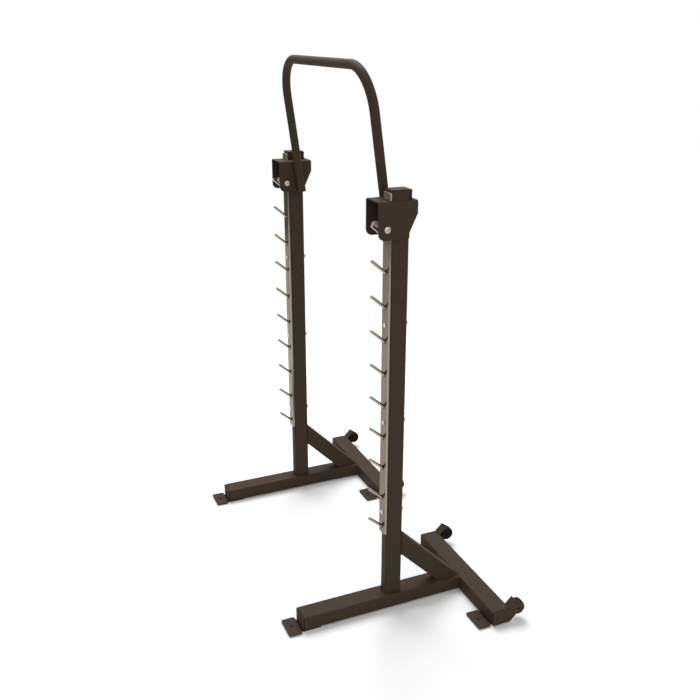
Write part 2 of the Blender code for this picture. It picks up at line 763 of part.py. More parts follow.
def add_saddle_bracket(side, y, inwards):
    """The bent bracket, open above for the post and the strip to pass through."""
    length = BRACKET_REAR - BRACKET_FRONT
    middle_x = (BRACKET_REAR + BRACKET_FRONT) / 2
    width = CHEEK_FAR + CHEEK_NEAR
    bracket = plate(
        side + "_saddle_bracket", [bracket_front_outline(inwards)], length + OVERRUN
    )
    place(bracket, powder_coat, (middle_x, y, 0), PLANE_TURNS["YZ"])
    cheeks = plate(side + "_cheek_shape", [bracket_side_outline()], width + OVERRUN)
    cheek_y = y + inwards * (CHEEK_FAR - CHEEK_NEAR) / 2
    place_tool(cheeks, (0, cheek_y, 0), PLANE_TURNS["XZ"])
    combine(bracket, "INTERSECT", cheeks)

    half_post = POST_WIDTH / 2 + SADDLE_CLEARANCE
    half_strip = STRIP_WIDTH / 2 + SADDLE_CLEARANCE
    below = BRACKET_TOP - BRACKET_BEND
    above = BRACKET_TOP + OVERRUN
    post_hole = block_tool(
        side + "_post_hole",
        (STRIP_FRONT, y - half_post, below),
        (POST_DEPTH + SADDLE_CLEARANCE, y + half_post, above),
    )
    strip_hole = block_tool(
        side + "_strip_hole",
        (STRIP_FRONT - SADDLE_CLEARANCE, y - half_strip, below),
        (STRIP_REAR + SADDLE_CLEARANCE, y + half_strip, above),
    )
    combine(bracket, "DIFFERENCE", post_hole)
    combine(bracket, "DIFFERENCE", strip_hole)
    across = [((0, -width - OVERRUN, 0), (0, width + OVERRUN, 0))]
    bolt_hole = rods(side + "_saddle_bolt_hole", SADDLE_BOLT_RADIUS + FIT_GAP, across)
    place_tool(bolt_hole, (SADDLE_BOLT_X, y, SADDLE_BOLT_Z))
    combine(bracket, "DIFFERENCE", bolt_hole)


def add_hood(side, y):
    """The hood on the bracket: it takes the post's top, behind the strip's end."""
    half_inside = POST_WIDTH / 2 + HOOD_CLEARANCE
    half = half_inside + HOOD_PLATE
    rear_inside = POST_DEPTH + HOOD_CLEARANCE
    rear = rear_inside + HOOD_PLATE
    low = BRACKET_TOP + FIT_GAP
    ceiling = POST_HEIGHT + FIT_GAP
    top = ceiling + HOOD_PLATE
    size = (rear + HOOD_LIP, 2 * half, top - low)
    bm = bmesh.new()
    bmesh.ops.create_cube(bm, size=1)
    bmesh.ops.scale(bm, vec=Vector(size), verts=bm.verts)
    lower = -size[2] / 2
    edges = [e for e in bm.edges if max(v.co.z for v in e.verts) > lower / 2]
    bmesh.ops.bevel(
        bm, geom=edges, offset=HOOD_EDGE, segments=CORNER_STEPS, profile=0.5, affect="EDGES"
    )
    hood = object_from(side + "_hood", bm)
    place(hood, powder_coat, ((rear - HOOD_LIP) / 2, y, (low + top) / 2))
    inside = block_tool(
        side + "_hood_inside",
        (-HOOD_LIP - OVERRUN, y - half_inside, low - OVERRUN),
        (rear_inside, y + half_inside, ceiling),
    )
    front = block_tool(
        side + "_hood_front",
        (-HOOD_LIP - OVERRUN, y - half - OVERRUN, low - OVERRUN),
        (FIT_GAP, y + half + OVERRUN, ceiling),
    )
    combine(hood, "DIFFERENCE", inside)
    combine(hood, "DIFFERENCE", front)


def add_saddle_bolt(side, y, inwards):
    """The cross bolt of a bracket: its head faces -Y, its nut lies inside the +Y cheek."""
    low, high = sorted((-inwards * CHEEK_NEAR, inwards * CHEEK_FAR))
    head_seat = y + low - FIT_GAP
    nut_seat = y + high - BRACKET_PLATE - FIT_GAP
    shank = y + high + BOLT_TAIL - head_seat
    bolt = domed_bolt(
        side + "_saddle_bolt",
        SADDLE_HEAD_RADIUS,
        SADDLE_HEAD_HEIGHT,
        SADDLE_BOLT_RADIUS,
        shank,
        SADDLE_HEAD_RIM,
    )
    place(bolt, bright_steel, (SADDLE_BOLT_X, head_seat, SADDLE_BOLT_Z), (math.pi / 2, 0, 0))
    add_nut(
        side + "_saddle_nut",
        SADDLE_NUT_FLATS,
        SADDLE_NUT_HEIGHT,
        SADDLE_WASHER_RADIUS,
        SADDLE_WASHER,
        SADDLE_BOLT_RADIUS + FIT_GAP,
        zinc_steel,
        (SADDLE_BOLT_X, nut_seat, SADDLE_BOLT_Z),
        (math.pi / 2, 0, 0),
    )


def arch_path(overrun):
    """The arch's centreline: up one leg, round two bends and down the other."""
    half = STAND_PITCH / 2 - ARCH_LEG_OFFSET
    rise = (ARCH_TOP - ARCH_FOOT) / math.cos(ARCH_LEAN)
    centre = (half - ARCH_BEND, rise - ARCH_BEND)
    bend = arc(centre, ARCH_BEND, 0, math.pi / 2, ARCH_BEND_STEPS)
    right = [(half, -overrun)] + bend
    left = [(-y, up) for y, up in reversed(right)]
    flat = right + left
    return [
        (ARCH_FOOT_X - up * math.sin(ARCH_LEAN), y, ARCH_FOOT + up * math.cos(ARCH_LEAN))
        for y, up in flat
    ]


def pipe(name, points, radius, resolution):
    """A round bar along a row of points."""
    curve = bpy.data.curves.new(name, "CURVE")
    curve.dimensions = "3D"
    curve.bevel_depth = radius
    curve.bevel_resolution = resolution
    curve.use_fill_caps = True
    spline = curve.splines.new("POLY")
    spline.points.add(len(points) - 1)
    for point, place_xyz in zip(spline.points, points):
        point.co = (*place_xyz, 1)
    return mesh_from_curve(bpy.data.objects.new(name, curve))


def add_arch():
    """The arch: one tube, bent twice, its legs against the brackets' far cheeks."""
    arch = pipe("arch_pipe", arch_path(0), ARCH_RADIUS, ARCH_RESOLUTION)
    arch.name = "arch_tube"
    smooth_round(arch)
    place(arch, powder_coat)
    bore_path = arch_path(OVERRUN)
    bore = pipe("arch_bore", bore_path, ARCH_RADIUS - ARCH_WALL, ARCH_BORE_RESOLUTION)
    place_tool(bore)
    combine(arch, "DIFFERENCE", bore)


for stand_side, hand in (("right", -1), ("left", 1)):
    stand_y = hand * STAND_PITCH / 2
    add_leg(stand_side, stand_y)
    add_cross_tube(stand_side, stand_y)
    for end_name, end_hand in (("outer", hand), ("inner", -hand)):
        add_wheel_end(stand_side, end_name, stand_y, end_hand)
        anchor_y = stand_y + end_hand * (TUBE_HALF - ANCHOR_WIDTH / 2)
        add_anchor_plate(stand_side + "_" + end_name + "_anchor_plate", CROSS_FRONT, anchor_y)
        pad_name = stand_side + "_" + end_name + "_pad"
        add_pad(pad_name, CROSS_FRONT + BASE_WIDTH / 2, anchor_y, math.pi / 2)
    add_anchor_plate(stand_side + "_front_anchor_plate", LEG_FRONT, stand_y)
    add_pad(stand_side + "_front_pad", LEG_FRONT + PAD_LENGTH / 2, stand_y)
    add_post(stand_side, stand_y)
    add_brace(stand_side, stand_y)
    add_catch_strip(stand_side, stand_y)
    add_strip_bolts(stand_side, stand_y)
    add_saddle_bracket(stand_side, stand_y, -hand)
    add_hood(stand_side, stand_y)
    add_saddle_bolt(stand_side, stand_y, -hand)

add_arch()
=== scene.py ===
# Looks of a pair of squat stands: powder-coated tube, bright catch strips, an arch and four wheels.
# Metres, +Z up; the lifter stands at -X, the wheels are at +X, the two stands at -Y and +Y.
import math

import bmesh
import bpy
import numpy as np
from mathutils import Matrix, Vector


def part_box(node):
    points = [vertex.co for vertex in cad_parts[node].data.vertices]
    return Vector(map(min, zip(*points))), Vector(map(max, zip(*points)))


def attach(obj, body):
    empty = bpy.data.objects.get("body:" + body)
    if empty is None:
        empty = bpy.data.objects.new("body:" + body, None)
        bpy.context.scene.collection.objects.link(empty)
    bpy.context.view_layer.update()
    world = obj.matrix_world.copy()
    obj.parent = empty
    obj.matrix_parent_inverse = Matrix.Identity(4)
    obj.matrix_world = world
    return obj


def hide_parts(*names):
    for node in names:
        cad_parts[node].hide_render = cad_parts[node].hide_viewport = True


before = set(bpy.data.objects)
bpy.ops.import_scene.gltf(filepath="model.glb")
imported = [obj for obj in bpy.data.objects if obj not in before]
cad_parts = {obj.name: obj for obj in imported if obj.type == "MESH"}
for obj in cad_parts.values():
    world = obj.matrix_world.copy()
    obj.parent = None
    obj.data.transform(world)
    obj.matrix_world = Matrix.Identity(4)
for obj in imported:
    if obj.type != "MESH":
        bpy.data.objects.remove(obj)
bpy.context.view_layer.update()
standHands = {"right": -1, "left": 1}   # the stand's side of the middle plane, along Y
millimetre = 0.001
print("frame loaded:", len(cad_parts), "nodes")


# Camera: fitted to the straight edges of the tubes, for an image of 700 x 700
cameraSettings = {
    "place": (-1.408275, -3.4112, 2.3863),
    "degreesDown": 20.584,
    "degreesRight": 23.248,
    "lens": 43.76,
    "sensor": 36.0,
    "clipEnd": 200,
}


def addCamera(settings):
    # turned down from the horizontal, and right of a look along +Y
    data = bpy.data.cameras.new("camera")
    data.sensor_fit = "HORIZONTAL"
    data.sensor_width = settings["sensor"]
    data.lens = settings["lens"]
    data.clip_end = settings["clipEnd"]
    camera = bpy.data.objects.new("camera", data)
    camera.location = settings["place"]
    tilt = math.radians(90 - settings["degreesDown"])
    camera.rotation_euler = (tilt, 0, math.radians(-settings["degreesRight"]))
    bpy.context.scene.collection.objects.link(camera)
    bpy.context.scene.camera = camera


addCamera(cameraSettings)


# Colours and material nodes; a Mix node's socket 0 is the share, 2 and 3 are its two numbers, and
# 6 and 7 its two colours, with results on 0 and 2
def linear(hexColour):
    # an sRGB hex colour as linear red, green, blue and alpha
    channels = [int(hexColour[i : i + 2], 16) / 255 for i in (1, 3, 5)]
    curved = [((c + 0.055) / 1.055) ** 2.4 if c > 0.04045 else c / 12.92 for c in channels]
    return (*curved, 1.0)


def addNode(tree, kind, settings, links=None):
    # settings are the node's own fields or its unlinked sockets; links go into its sockets
    node = tree.nodes.new(kind)
    for key, value in settings.items():
        if isinstance(key, str) and hasattr(node, key):
            setattr(node, key, value)
        else:
            node.inputs[key].default_value = value
    for key, socket in (links or {}).items():
        tree.links.new(socket, node.inputs[key])
    return node


noiseSpan = {"From Min": 0.3, "From Max": 0.7}   # where most values of a noise texture lie


def mottle(tree, shader, coordinates, settings):
    # colour and roughness that drift slowly over the surface, between two near values
    scale = 1 / (settings["driftMm"] * millimetre)
    drift = addNode(tree, "ShaderNodeTexNoise", {"Scale": scale, "Detail": 3.0}, {
        "Vector": coordinates})
    colours = {6: linear(settings["dark"]), 7: linear(settings["light"])}
    mix = addNode(tree, "ShaderNodeMix", {"data_type": "RGBA", **colours}, {0: drift.outputs[0]})
    tree.links.new(mix.outputs[2], shader.inputs["Base Color"])
    low, high = settings["roughness"]
    spread = addNode(tree, "ShaderNodeMapRange", {**noiseSpan, "To Min": low, "To Max": high}, {
        "Value": drift.outputs[0]})
    tree.links.new(spread.outputs[0], shader.inputs["Roughness"])


def grain(tree, shader, coordinates, settings):
    # relief of a noise whose lumps are as long as the given millimetres along X, Y and Z
    scale = [1 / (size * millimetre) for size in settings["grainMm"]]
    stretched = addNode(tree, "ShaderNodeMapping", {"Scale": scale}, {"Vector": coordinates})
    noise = {"Scale": 1.0, "Detail": 2.0, "Roughness": 0.6}
    lumps = addNode(tree, "ShaderNodeTexNoise", noise, {"Vector": stretched.outputs[0]})
    depth = {"Strength": settings["relief"], "Distance": settings["depthMm"] * millimetre}
    bump = addNode(tree, "ShaderNodeBump", depth, {"Height": lumps.outputs[0]})
    tree.links.new(bump.outputs[0], shader.inputs["Normal"])


def paintReflectionAbove(tree, shader, coordinates, darkReflection):
    # painted reflection: a darker colour above a height, for the dark reflection there, and
    # another roughness, both coming in over a short way below it
    apart = addNode(tree, "ShaderNodeSeparateXYZ", {}, {0: coordinates})
    span = {"From Min": darkReflection["above"] - darkReflection["fade"], "From Max": darkReflection["above"]}
    share = addNode(tree, "ShaderNodeMapRange", span, {"Value": apart.outputs["Z"]}).outputs[0]
    for name, kind, value, before, result in (
        ("Roughness", "FLOAT", darkReflection["roughness"], 2, 0),
        ("Base Color", "RGBA", linear(darkReflection["colour"]), 6, 2),
    ):
        socket = shader.inputs[name]
        mix = addNode(tree, "ShaderNodeMix", {"data_type": kind, before + 1: value}, {
            0: share, before: socket.links[0].from_socket})
        tree.links.new(mix.outputs[result], socket)


litSideSpan = {"From Min": 0.5, "From Max": 0.9}   # length of a normal's Y part, front to side, over which the painted highlight comes in


def paintLitSides(tree, shader, coordinates, hexColour):
    # painted highlight: a lighter colour on faces turned along Y, where the object's own normal
    # has a long Y part, as such faces look when lit
    apart = addNode(tree, "ShaderNodeSeparateXYZ", {}, {0: coordinates.node.outputs["Normal"]})
    sideways = addNode(tree, "ShaderNodeMath", {"operation": "ABSOLUTE"}, {0: apart.outputs["Y"]})
    share = addNode(tree, "ShaderNodeMapRange", litSideSpan, {"Value": sideways.outputs[0]})
    socket = shader.inputs["Base Color"]
    mix = addNode(tree, "ShaderNodeMix", {"data_type": "RGBA", 7: linear(hexColour)}, {
        0: share.outputs[0], 6: socket.links[0].from_socket})
    tree.links.new(mix.outputs[2], socket)


def dressedMaterial(name, settings):
    # plain values on the shader first, then the patterns over them
    material = bpy.data.materials.new(name)
    material.use_nodes = True
    material.diffuse_color = linear(settings["light"])
    tree = material.node_tree
    shader = tree.nodes["Principled BSDF"]
    shader.inputs["Base Color"].default_value = linear(settings["light"])
    shader.inputs["Roughness"].default_value = sum(settings["roughness"]) / 2
    shader.inputs["Metallic"].default_value = settings.get("metallic", 0.0)
    shader.inputs["IOR"].default_value = settings.get("ior", 1.5)
    coordinates = addNode(tree, "ShaderNodeTexCoord", {}).outputs["Object"]
    mottle(tree, shader, coordinates, settings)
    grain(tree, shader, coordinates, settings)
    # painted reflection: a darker colour above a height
    if "paintedReflection" in settings:
        paintReflectionAbove(tree, shader, coordinates, settings["paintedReflection"])
    # painted highlight on the faces turned along Y
    if "sides" in settings:
        paintLitSides(tree, shader, coordinates, settings["sides"])
    return material


fineGrain = {"grainMm": (1.5, 1.5, 1.5), "relief": 0.06, "depthMm": 0.08}   # on bolts and axles

looks = {
    # Polyester powder baked on steel tube: an even satin skin, its orange peel about 1.5 mm from
    # crest to crest, drawn at 4 mm here because the real one is too fine to show
    "powder_coat": dressedMaterial("powderCoatedSteel", {
        "dark": "#3A2F25", "light": "#413529", "driftMm": 120, "roughness": (0.58, 0.68),
        "grainMm": (4, 4, 4), "relief": 0.12, "depthMm": 0.4, "ior": 1.2,
    }),
    # Cold-rolled flat bar, linished along its length and plated: satin, with fine upright lines,
    # drawn 1.2 mm wide because real ones are a tenth of that; rougher near its top, where a darker
    # colour is a painted reflection, and a lighter colour on its narrow sides is a painted
    # highlight
    "strip_steel": dressedMaterial("linishedPlatedBar", {
        "dark": "#685B47", "light": "#71624E", "driftMm": 90, "roughness": (0.14, 0.18),
        "metallic": 1.0, "grainMm": (1.2, 1.2, 60), "relief": 0.06, "depthMm": 0.12,
        # painted highlight on the narrow sides
        "sides": "#A2978A",
        # painted reflection: a darker colour near the top, with a higher roughness
        "paintedReflection": {"above": 1.78, "fade": 0.02, "colour": "#7F735E", "roughness": 0.60},
    }),
    # Bright drawn round bar, plated with the strip: smoother, with rings from the die
    "pin_steel": dressedMaterial("drawnRoundBar", {
        "dark": "#A09484", "light": "#B1A696", "driftMm": 60, "roughness": (0.20, 0.28),
        "metallic": 1.0, "grainMm": (3, 3, 3), "relief": 0.06, "depthMm": 0.1,
    }),
    # Zinc-plated screws of the strips, slightly cloudy: painted paler than the same plating on the
    # cross bolts, a painted highlight on their domed heads
    "screw_steel": dressedMaterial("dullZincPlate", {
        "dark": "#D6CDC2", "light": "#E4DCD2", "driftMm": 12, "roughness": (0.34, 0.44),
        "metallic": 0.5, **fineGrain,
    }),
    # Zinc-plated cross bolts and strip nuts: greyer than the strip screws, and nearer to bare metal
    "bright_steel": dressedMaterial("zincPlatedSteel", {
        "dark": "#B7ADA3", "light": "#C5BCB2", "driftMm": 12, "roughness": (0.34, 0.44),
        "metallic": 0.6, **fineGrain,
    }),
    # Yellow-passivated zinc on the cross bolt's nut: the same plating with a straw tint
    "zinc_steel": dressedMaterial("yellowPassivatedZinc", {
        "dark": "#EBDFC2", "light": "#F6ECD6", "driftMm": 10, "roughness": (0.40, 0.50),
        "metallic": 0.35, **fineGrain,
    }),
    # Weld beads in deep corners and gaps, near black as painted shade: they stand in for the dark
    # shadow where they sit
    "weld_painted_shade": dressedMaterial("weldPaintedShade", {
        "dark": "#120D08", "light": "#1C150D", "driftMm": 8, "roughness": (0.5, 0.65),
        "metallic": 0.6, "grainMm": (1.5, 1.5, 1.5), "relief": 0.15, "depthMm": 0.1,
    }),
    # Black-oxide axle pins: dark, oily, half dull
    "dark_steel": dressedMaterial("blackOxideSteel", {
        "dark": "#0E0B09", "light": "#15110E", "driftMm": 15, "roughness": (0.4, 0.55),
        "metallic": 1.0, **fineGrain,
    }),
    # Glass-filled nylon wheels, moulded: dull and near black, with a fine spark-eroded grain
    "wheel_plastic": dressedMaterial("mouldedNylon", {
        "dark": "#1D1711", "light": "#272017", "driftMm": 25, "roughness": (0.5, 0.65),
        "grainMm": (1.6, 1.6, 1.6), "relief": 0.15, "depthMm": 0.2, "ior": 1.12,
    }),
    # Pressed rubber pads: matt black, lightly dusty
    "black_rubber": dressedMaterial("pressedRubber", {
        "dark": "#12100F", "light": "#1E1B18", "driftMm": 30, "roughness": (0.7, 0.85),
        "grainMm": (2, 2, 2), "relief": 0.2, "depthMm": 0.3, "ior": 1.52,
    }),
}
print("materials made:", len(looks))


# Surfaces: grids of points, rows by columns, each worked out as a whole array
def gridPart(grid, wrapRows=False, wrapColumns=True, caps=False):
    # the quads of a grid; its columns run round and close, and caps fill its first and last rows
    rows, columns = grid.shape[:2]
    i, j = np.meshgrid(
        np.arange(rows - (not wrapRows)), np.arange(columns - (not wrapColumns)), indexing="ij"
    )
    down, on = (i + 1) % rows, (j + 1) % columns
    corners = [i * columns + j, i * columns + on, down * columns + on, down * columns + j]
    quads = np.stack(corners, -1).reshape(-1, 4)
    ends = []
    if caps:
        ends = [np.arange(columns)[::-1], np.arange(columns) + (rows - 1) * columns]
    return grid.reshape(-1, 3), quads, ends


def capped(grid):
    # a bar: its columns close, and both ends are filled
    return gridPart(grid, caps=True)


def unit(vectors):
    # each vector divided by its length
    return vectors / np.linalg.norm(vectors, axis=-1, keepdims=True)


def around(sides):
    # equal angles once round a circle
    return np.linspace(0, 2 * math.pi, sides, endpoint=False)


def quarterTurn(steps):
    # equal angles from 0 to a right angle, both with them
    return np.linspace(0, math.pi / 2, steps + 1)


def tilted(degrees):
    # the direction so many degrees from +X towards +Z
    turn = math.radians(degrees)
    return np.array((math.cos(turn), 0, math.sin(turn)))


def placed(grid, matrix):
    # every point turned and moved by a 4 x 4 matrix
    matrix = np.array(matrix)
    return grid @ matrix[:3, :3].T + matrix[:3, 3]


def axesMatrix(uAxis, vAxis, wAxis, origin):
    # the matrix that lays a grid's own u, v and w along three axes, from an origin
    matrix = np.eye(4)
    matrix[:3, 0], matrix[:3, 1], matrix[:3, 2] = uAxis, vAxis, wAxis
    matrix[:3, 3] = origin
    return matrix


leastRadius = {"fillet": 0.00005, "bar": 0.0002}   # a sharper corner still gets this round


def roundedLoop(width, height, radius, steps=6):
    # a rounded rectangle: a quarter circle about each corner's centre
    angles = np.arange(4)[:, None] * math.pi / 2 + quarterTurn(steps)
    signs = np.array([(1, 1), (-1, 1), (-1, -1), (1, -1)])[:, None]
    reach = np.array([width / 2 - radius, height / 2 - radius])
    arcs = np.stack([np.cos(angles), np.sin(angles)], -1) * radius
    return (signs * reach + arcs).reshape(-1, 2)


def filleted(corners, steps=6):
    # a closed outline through corners (u, v, radius): each becomes the arc that touches both sides
    corners = np.array(corners, float)
    here, radius = corners[:, :2], np.maximum(corners[:, 2:], leastRadius["fillet"])
    back = unit(np.roll(here, 1, 0) - here)
    ahead = unit(np.roll(here, -1, 0) - here)
    half = np.arccos(np.clip((back * ahead).sum(1), -1, 1))[:, None] / 2
    centre = here + unit(back + ahead) * radius / np.sin(half)
    first = here + back * radius / np.tan(half) - centre
    last = here + ahead * radius / np.tan(half) - centre
    start = np.arctan2(first[:, 1], first[:, 0])
    swing = np.arctan2(last[:, 1], last[:, 0]) - start
    swing = (swing + math.pi) % (2 * math.pi) - math.pi
    angles = start[:, None] + swing[:, None] * np.linspace(0, 1, steps + 1)
    arcs = np.stack([np.cos(angles), np.sin(angles)], -1) * radius[:, None]
    return (centre[:, None] + arcs).reshape(-1, 2)


def drawnIn(loop, inset):
    # a closed anticlockwise loop moved inwards: each point along the mean of its edges' normals
    ahead = unit(np.roll(loop, -1, 0) - loop)
    back = unit(loop - np.roll(loop, 1, 0))
    normalAhead = np.stack([-ahead[:, 1], ahead[:, 0]], -1)
    normalBack = np.stack([-back[:, 1], back[:, 0]], -1)
    mean = unit(normalAhead + normalBack)
    return loop + inset * mean / (mean * normalAhead).sum(1, keepdims=True)


def quarterRound(radius, steps=4):
    # insets and advances along a quarter circle, from a flat end to a full side
    turn = quarterTurn(steps)
    return radius * (1 - np.sin(turn)), radius * (1 - np.cos(turn))


def endRows(end):
    # insets and advances at a bar's end: a quarter circle of a radius, or rows as they are given
    return quarterRound(end) if np.isscalar(end) else np.array(end, float).T


cutEnd = 0.0004   # round of a sawn end


def barGrid(low, high, along, corner, ends=(cutEnd, cutEnd)):
    # a bar between two corners: a rounded rectangle, drawn in near each end by that end's rows
    low, high = np.array(low, float), np.array(high, float)
    across = [k for k in range(3) if k != along]
    size, middle = (high - low)[across], ((low + high) / 2)[across]
    nearInset, nearAdvance = endRows(ends[0])
    farInset, farAdvance = endRows(ends[1])
    insets = np.concatenate([nearInset, farInset[::-1]])
    places = np.concatenate([low[along] + nearAdvance, (high[along] - farAdvance)[::-1]])
    least = leastRadius["bar"]
    loops = [roundedLoop(*(size - 2 * d), max(corner - d, least)) for d in insets]
    grid = np.zeros((len(insets), len(loops[0]), 3))
    grid[:, :, across] = np.stack(loops) + middle
    grid[:, :, along] = places[:, None]
    return grid


uprightFrom = 0.9   # an axis with a longer Z part counts as upright


def turnedGrid(profile, centre, axis, sides=48):
    # a profile of (radius, height) points taken round an axis through a centre
    profile, axis = np.array(profile, float), unit(np.array(axis, float))
    upright = abs(axis[2]) > uprightFrom
    uAxis = unit(np.cross(axis, (1.0, 0, 0) if upright else (0, 0, 1.0)))
    vAxis = np.cross(axis, uAxis)
    angles = around(sides)[:, None]
    ring = np.cos(angles) * uAxis + np.sin(angles) * vAxis
    radius, height = profile[:, 0, None, None], profile[:, 1, None, None]
    return np.array(centre, float) + radius * ring + height * axis


def plateGrid(loop, thickness, edge, hole=None):
    # a flat plate in u and v, w its thickness: the outline drawn in by a quarter circle at both
    # faces, and where there is a hole, each outline point's own ray down to the hole's circle
    inset, advance = quarterRound(edge)
    insets = np.concatenate([inset, inset[::-1]])
    heights = np.concatenate([advance - thickness / 2, (thickness / 2 - advance)[::-1]])
    rows = [np.column_stack([drawnIn(loop, d), np.full(len(loop), h)])
            for d, h in zip(insets, heights)]
    if hole:
        (u, v), radius, chamfer = hole
        rays = unit(loop - (u, v))
        bore = [(radius + chamfer, 1), (radius, 1 - 2 * chamfer / thickness)]
        rings = [np.column_stack([rays * r + (u, v), np.full(len(loop), side * thickness / 2)])
                 for r, side in bore]
        under = [ring * (1, 1, -1) for ring in reversed(rings)]
        rows = under + rows + rings
    return np.stack(rows)


def subdivided(loop, parts):
    # a closed loop with every edge cut into the same number of parts
    places = np.arange(len(loop) * parts) / parts
    closed = np.vstack([loop, loop[:1]])
    index = np.arange(len(closed))
    return np.column_stack([np.interp(places, index, closed[:, k]) for k in range(2)])


def evenly(path, spacing, closed):
    # a path resampled at equal steps of about the given spacing, four at least
    path = np.vstack([path, path[:1]]) if closed else np.array(path, float)
    runs = np.concatenate([[0], np.cumsum(np.linalg.norm(np.diff(path, axis=0), axis=1))])
    count = max(int(runs[-1] / spacing), 4)
    places = np.linspace(0, runs[-1], count + (not closed), endpoint=not closed)
    return np.column_stack([np.interp(places, runs, path[:, k]) for k in range(3)])


def roundAlong(path, radius, across, sides, closed=False):
    # a round bar along a path in one plane: a circle square to the path at each of its points
    ends = (np.roll(path, -1, 0), np.roll(path, 1, 0)) if closed else (path, path)
    tangent = unit(ends[0] - ends[1]) if closed else unit(np.gradient(path, axis=0))
    side = unit(np.cross(tangent, across))
    up = np.cross(side, tangent)
    angles = around(sides)[None, :, None]
    radius = np.broadcast_to(radius, len(path))[:, None, None]
    return path[:, None] + radius * (np.cos(angles) * side[:, None] + np.sin(angles) * up[:, None])


weld = {"bead": 0.0026, "ripple": 0.0034, "swell": 0.16, "perRipple": 4, "sides": 8}


def beadPart(path, across, closed, bead=None):
    # a weld bead: a round bar on a seam, its radius swelling once for each ripple of the pool
    size = bead or weld["bead"]
    path = evenly(path, weld["ripple"] / weld["perRipple"], closed)
    phase = 2 * math.pi * np.arange(len(path)) / weld["perRipple"]
    radius = size * (1 + weld["swell"] * np.sin(phase))
    grid = roundAlong(path, radius, np.array(across, float), weld["sides"], closed)
    return gridPart(grid, wrapRows=closed, caps=not closed)


mergeDistance = 0.000002   # metres, far below any edge


def addPiece(name, parts, look="powder_coat", body="stands", node=None, sharp=40):
    # one object from its parts, in place of a node: doubles merged, faces outwards, and edges of
    # more than so many degrees kept sharp
    starts = np.cumsum([0] + [len(points) for points, quads, ends in parts])
    points = np.concatenate([part[0] for part in parts])
    faces = []
    for (_, quads, ends), start in zip(parts, starts):
        faces += (quads + start).tolist() + [(end + start).tolist() for end in ends]
    mesh = bpy.data.meshes.new(name)
    mesh.from_pydata(points.tolist(), [], faces)
    tidy = bmesh.new()
    tidy.from_mesh(mesh)
    bmesh.ops.remove_doubles(tidy, verts=tidy.verts, dist=mergeDistance)
    bmesh.ops.recalc_face_normals(tidy, faces=tidy.faces)
    tidy.to_mesh(mesh)
    tidy.free()
    mesh.shade_smooth()
    mesh.set_sharp_from_angle(angle=math.radians(sharp))
    mesh.materials.append(looks[look])
    piece = bpy.data.objects.new(name, mesh)
    bpy.context.scene.collection.objects.link(piece)
    flatter = piece.modifiers.new("flat faces stay flat", "WEIGHTED_NORMAL")
    flatter.keep_sharp = True
    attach(piece, body)
    if node:
        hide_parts(node)
    return piece


def boxOf(node):
    # a node's lowest and highest corners at rest
    low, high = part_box(node)
    return np.array(low), np.array(high)


# Base tubes: seam-welded rectangular tube, closed by end plates with a groove weld behind each
baseTube = {"corner": 0.005, "capRound": 0.0028, "cutRound": 0.0016, "capPlate": 0.0034,
            "groove": 0.0036, "grooveDepth": 0.0055, "grooveSlant": 0.0003,
            "weldLift": 0.0006, "weldInset": 0.004}


def grooveRows(start):
    # insets and advances of a groove round a bar: in, along its bottom and out again
    width, depth, slant = (baseTube[key] for key in ("groove", "grooveDepth", "grooveSlant"))
    return [(0, start), (depth, start + slant), (depth, start + width - slant), (0, start + width)]


def addBase(side):
    # two bars, grooved behind the leg's cap and the cross tube's end plates, and the beads between
    legLow, legHigh = boxOf(side + "_leg")
    capEnd = list(zip(*quarterRound(baseTube["capRound"]))) + grooveRows(baseTube["capPlate"])
    leg = barGrid(legLow, legHigh, 0, baseTube["corner"], (capEnd, baseTube["cutRound"]))
    addPiece(side + "_leg_tube", [capped(leg)], node=side + "_leg")
    crossLow, crossHigh = boxOf(side + "_cross_tube")
    plateEnd = [(baseTube["grooveDepth"], 0)] + grooveRows(0)[2:]
    cross = barGrid(crossLow, crossHigh, 1, baseTube["corner"], (plateEnd, plateEnd))
    addPiece(side + "_rear_cross_tube", [capped(cross)], node=side + "_cross_tube")
    x, inset = crossLow[0] - baseTube["weldLift"], baseTube["weldInset"]
    seams = [beadPart([(x, y, legLow[2] + inset), (x, y, legHigh[2] - inset)], (0, 1, 0), False)
             for y in (legLow[1], legHigh[1])]   # upright, where the leg meets the cross tube
    addPiece(side + "_base_weld", seams)


# Uprights and braces: rectangular tube, welded to the leg and to each other
post = {"corner": 0.008, "bead": 0.0030, "beadOut": 0.001}
brace = {"degrees": 45, "depth": 0.079, "corner": 0.006, "rows": 12}


def loopAt(loop, axes, level):
    # a flat loop stood in two of the three axes, at a level on the third
    third = 3 - sum(axes)
    points = np.zeros((len(loop), 3))
    points[:, axes] = loop
    points[:, third] = level
    return points


def addUpright(side):
    # an upright bar, and a bead round its foot
    low, high = boxOf(side + "_upright")
    grid = barGrid(low, high, 2, post["corner"])
    addPiece(side + "_post", [capped(grid)], node=side + "_upright")
    foot = roundedLoop(*(high - low + post["beadOut"])[:2], post["corner"])
    foot = loopAt(foot + ((low + high) / 2)[:2], (0, 1), low[2])
    addPiece(side + "_post_weld", [beadPart(foot, (0, 0, 1), True, post["bead"])])


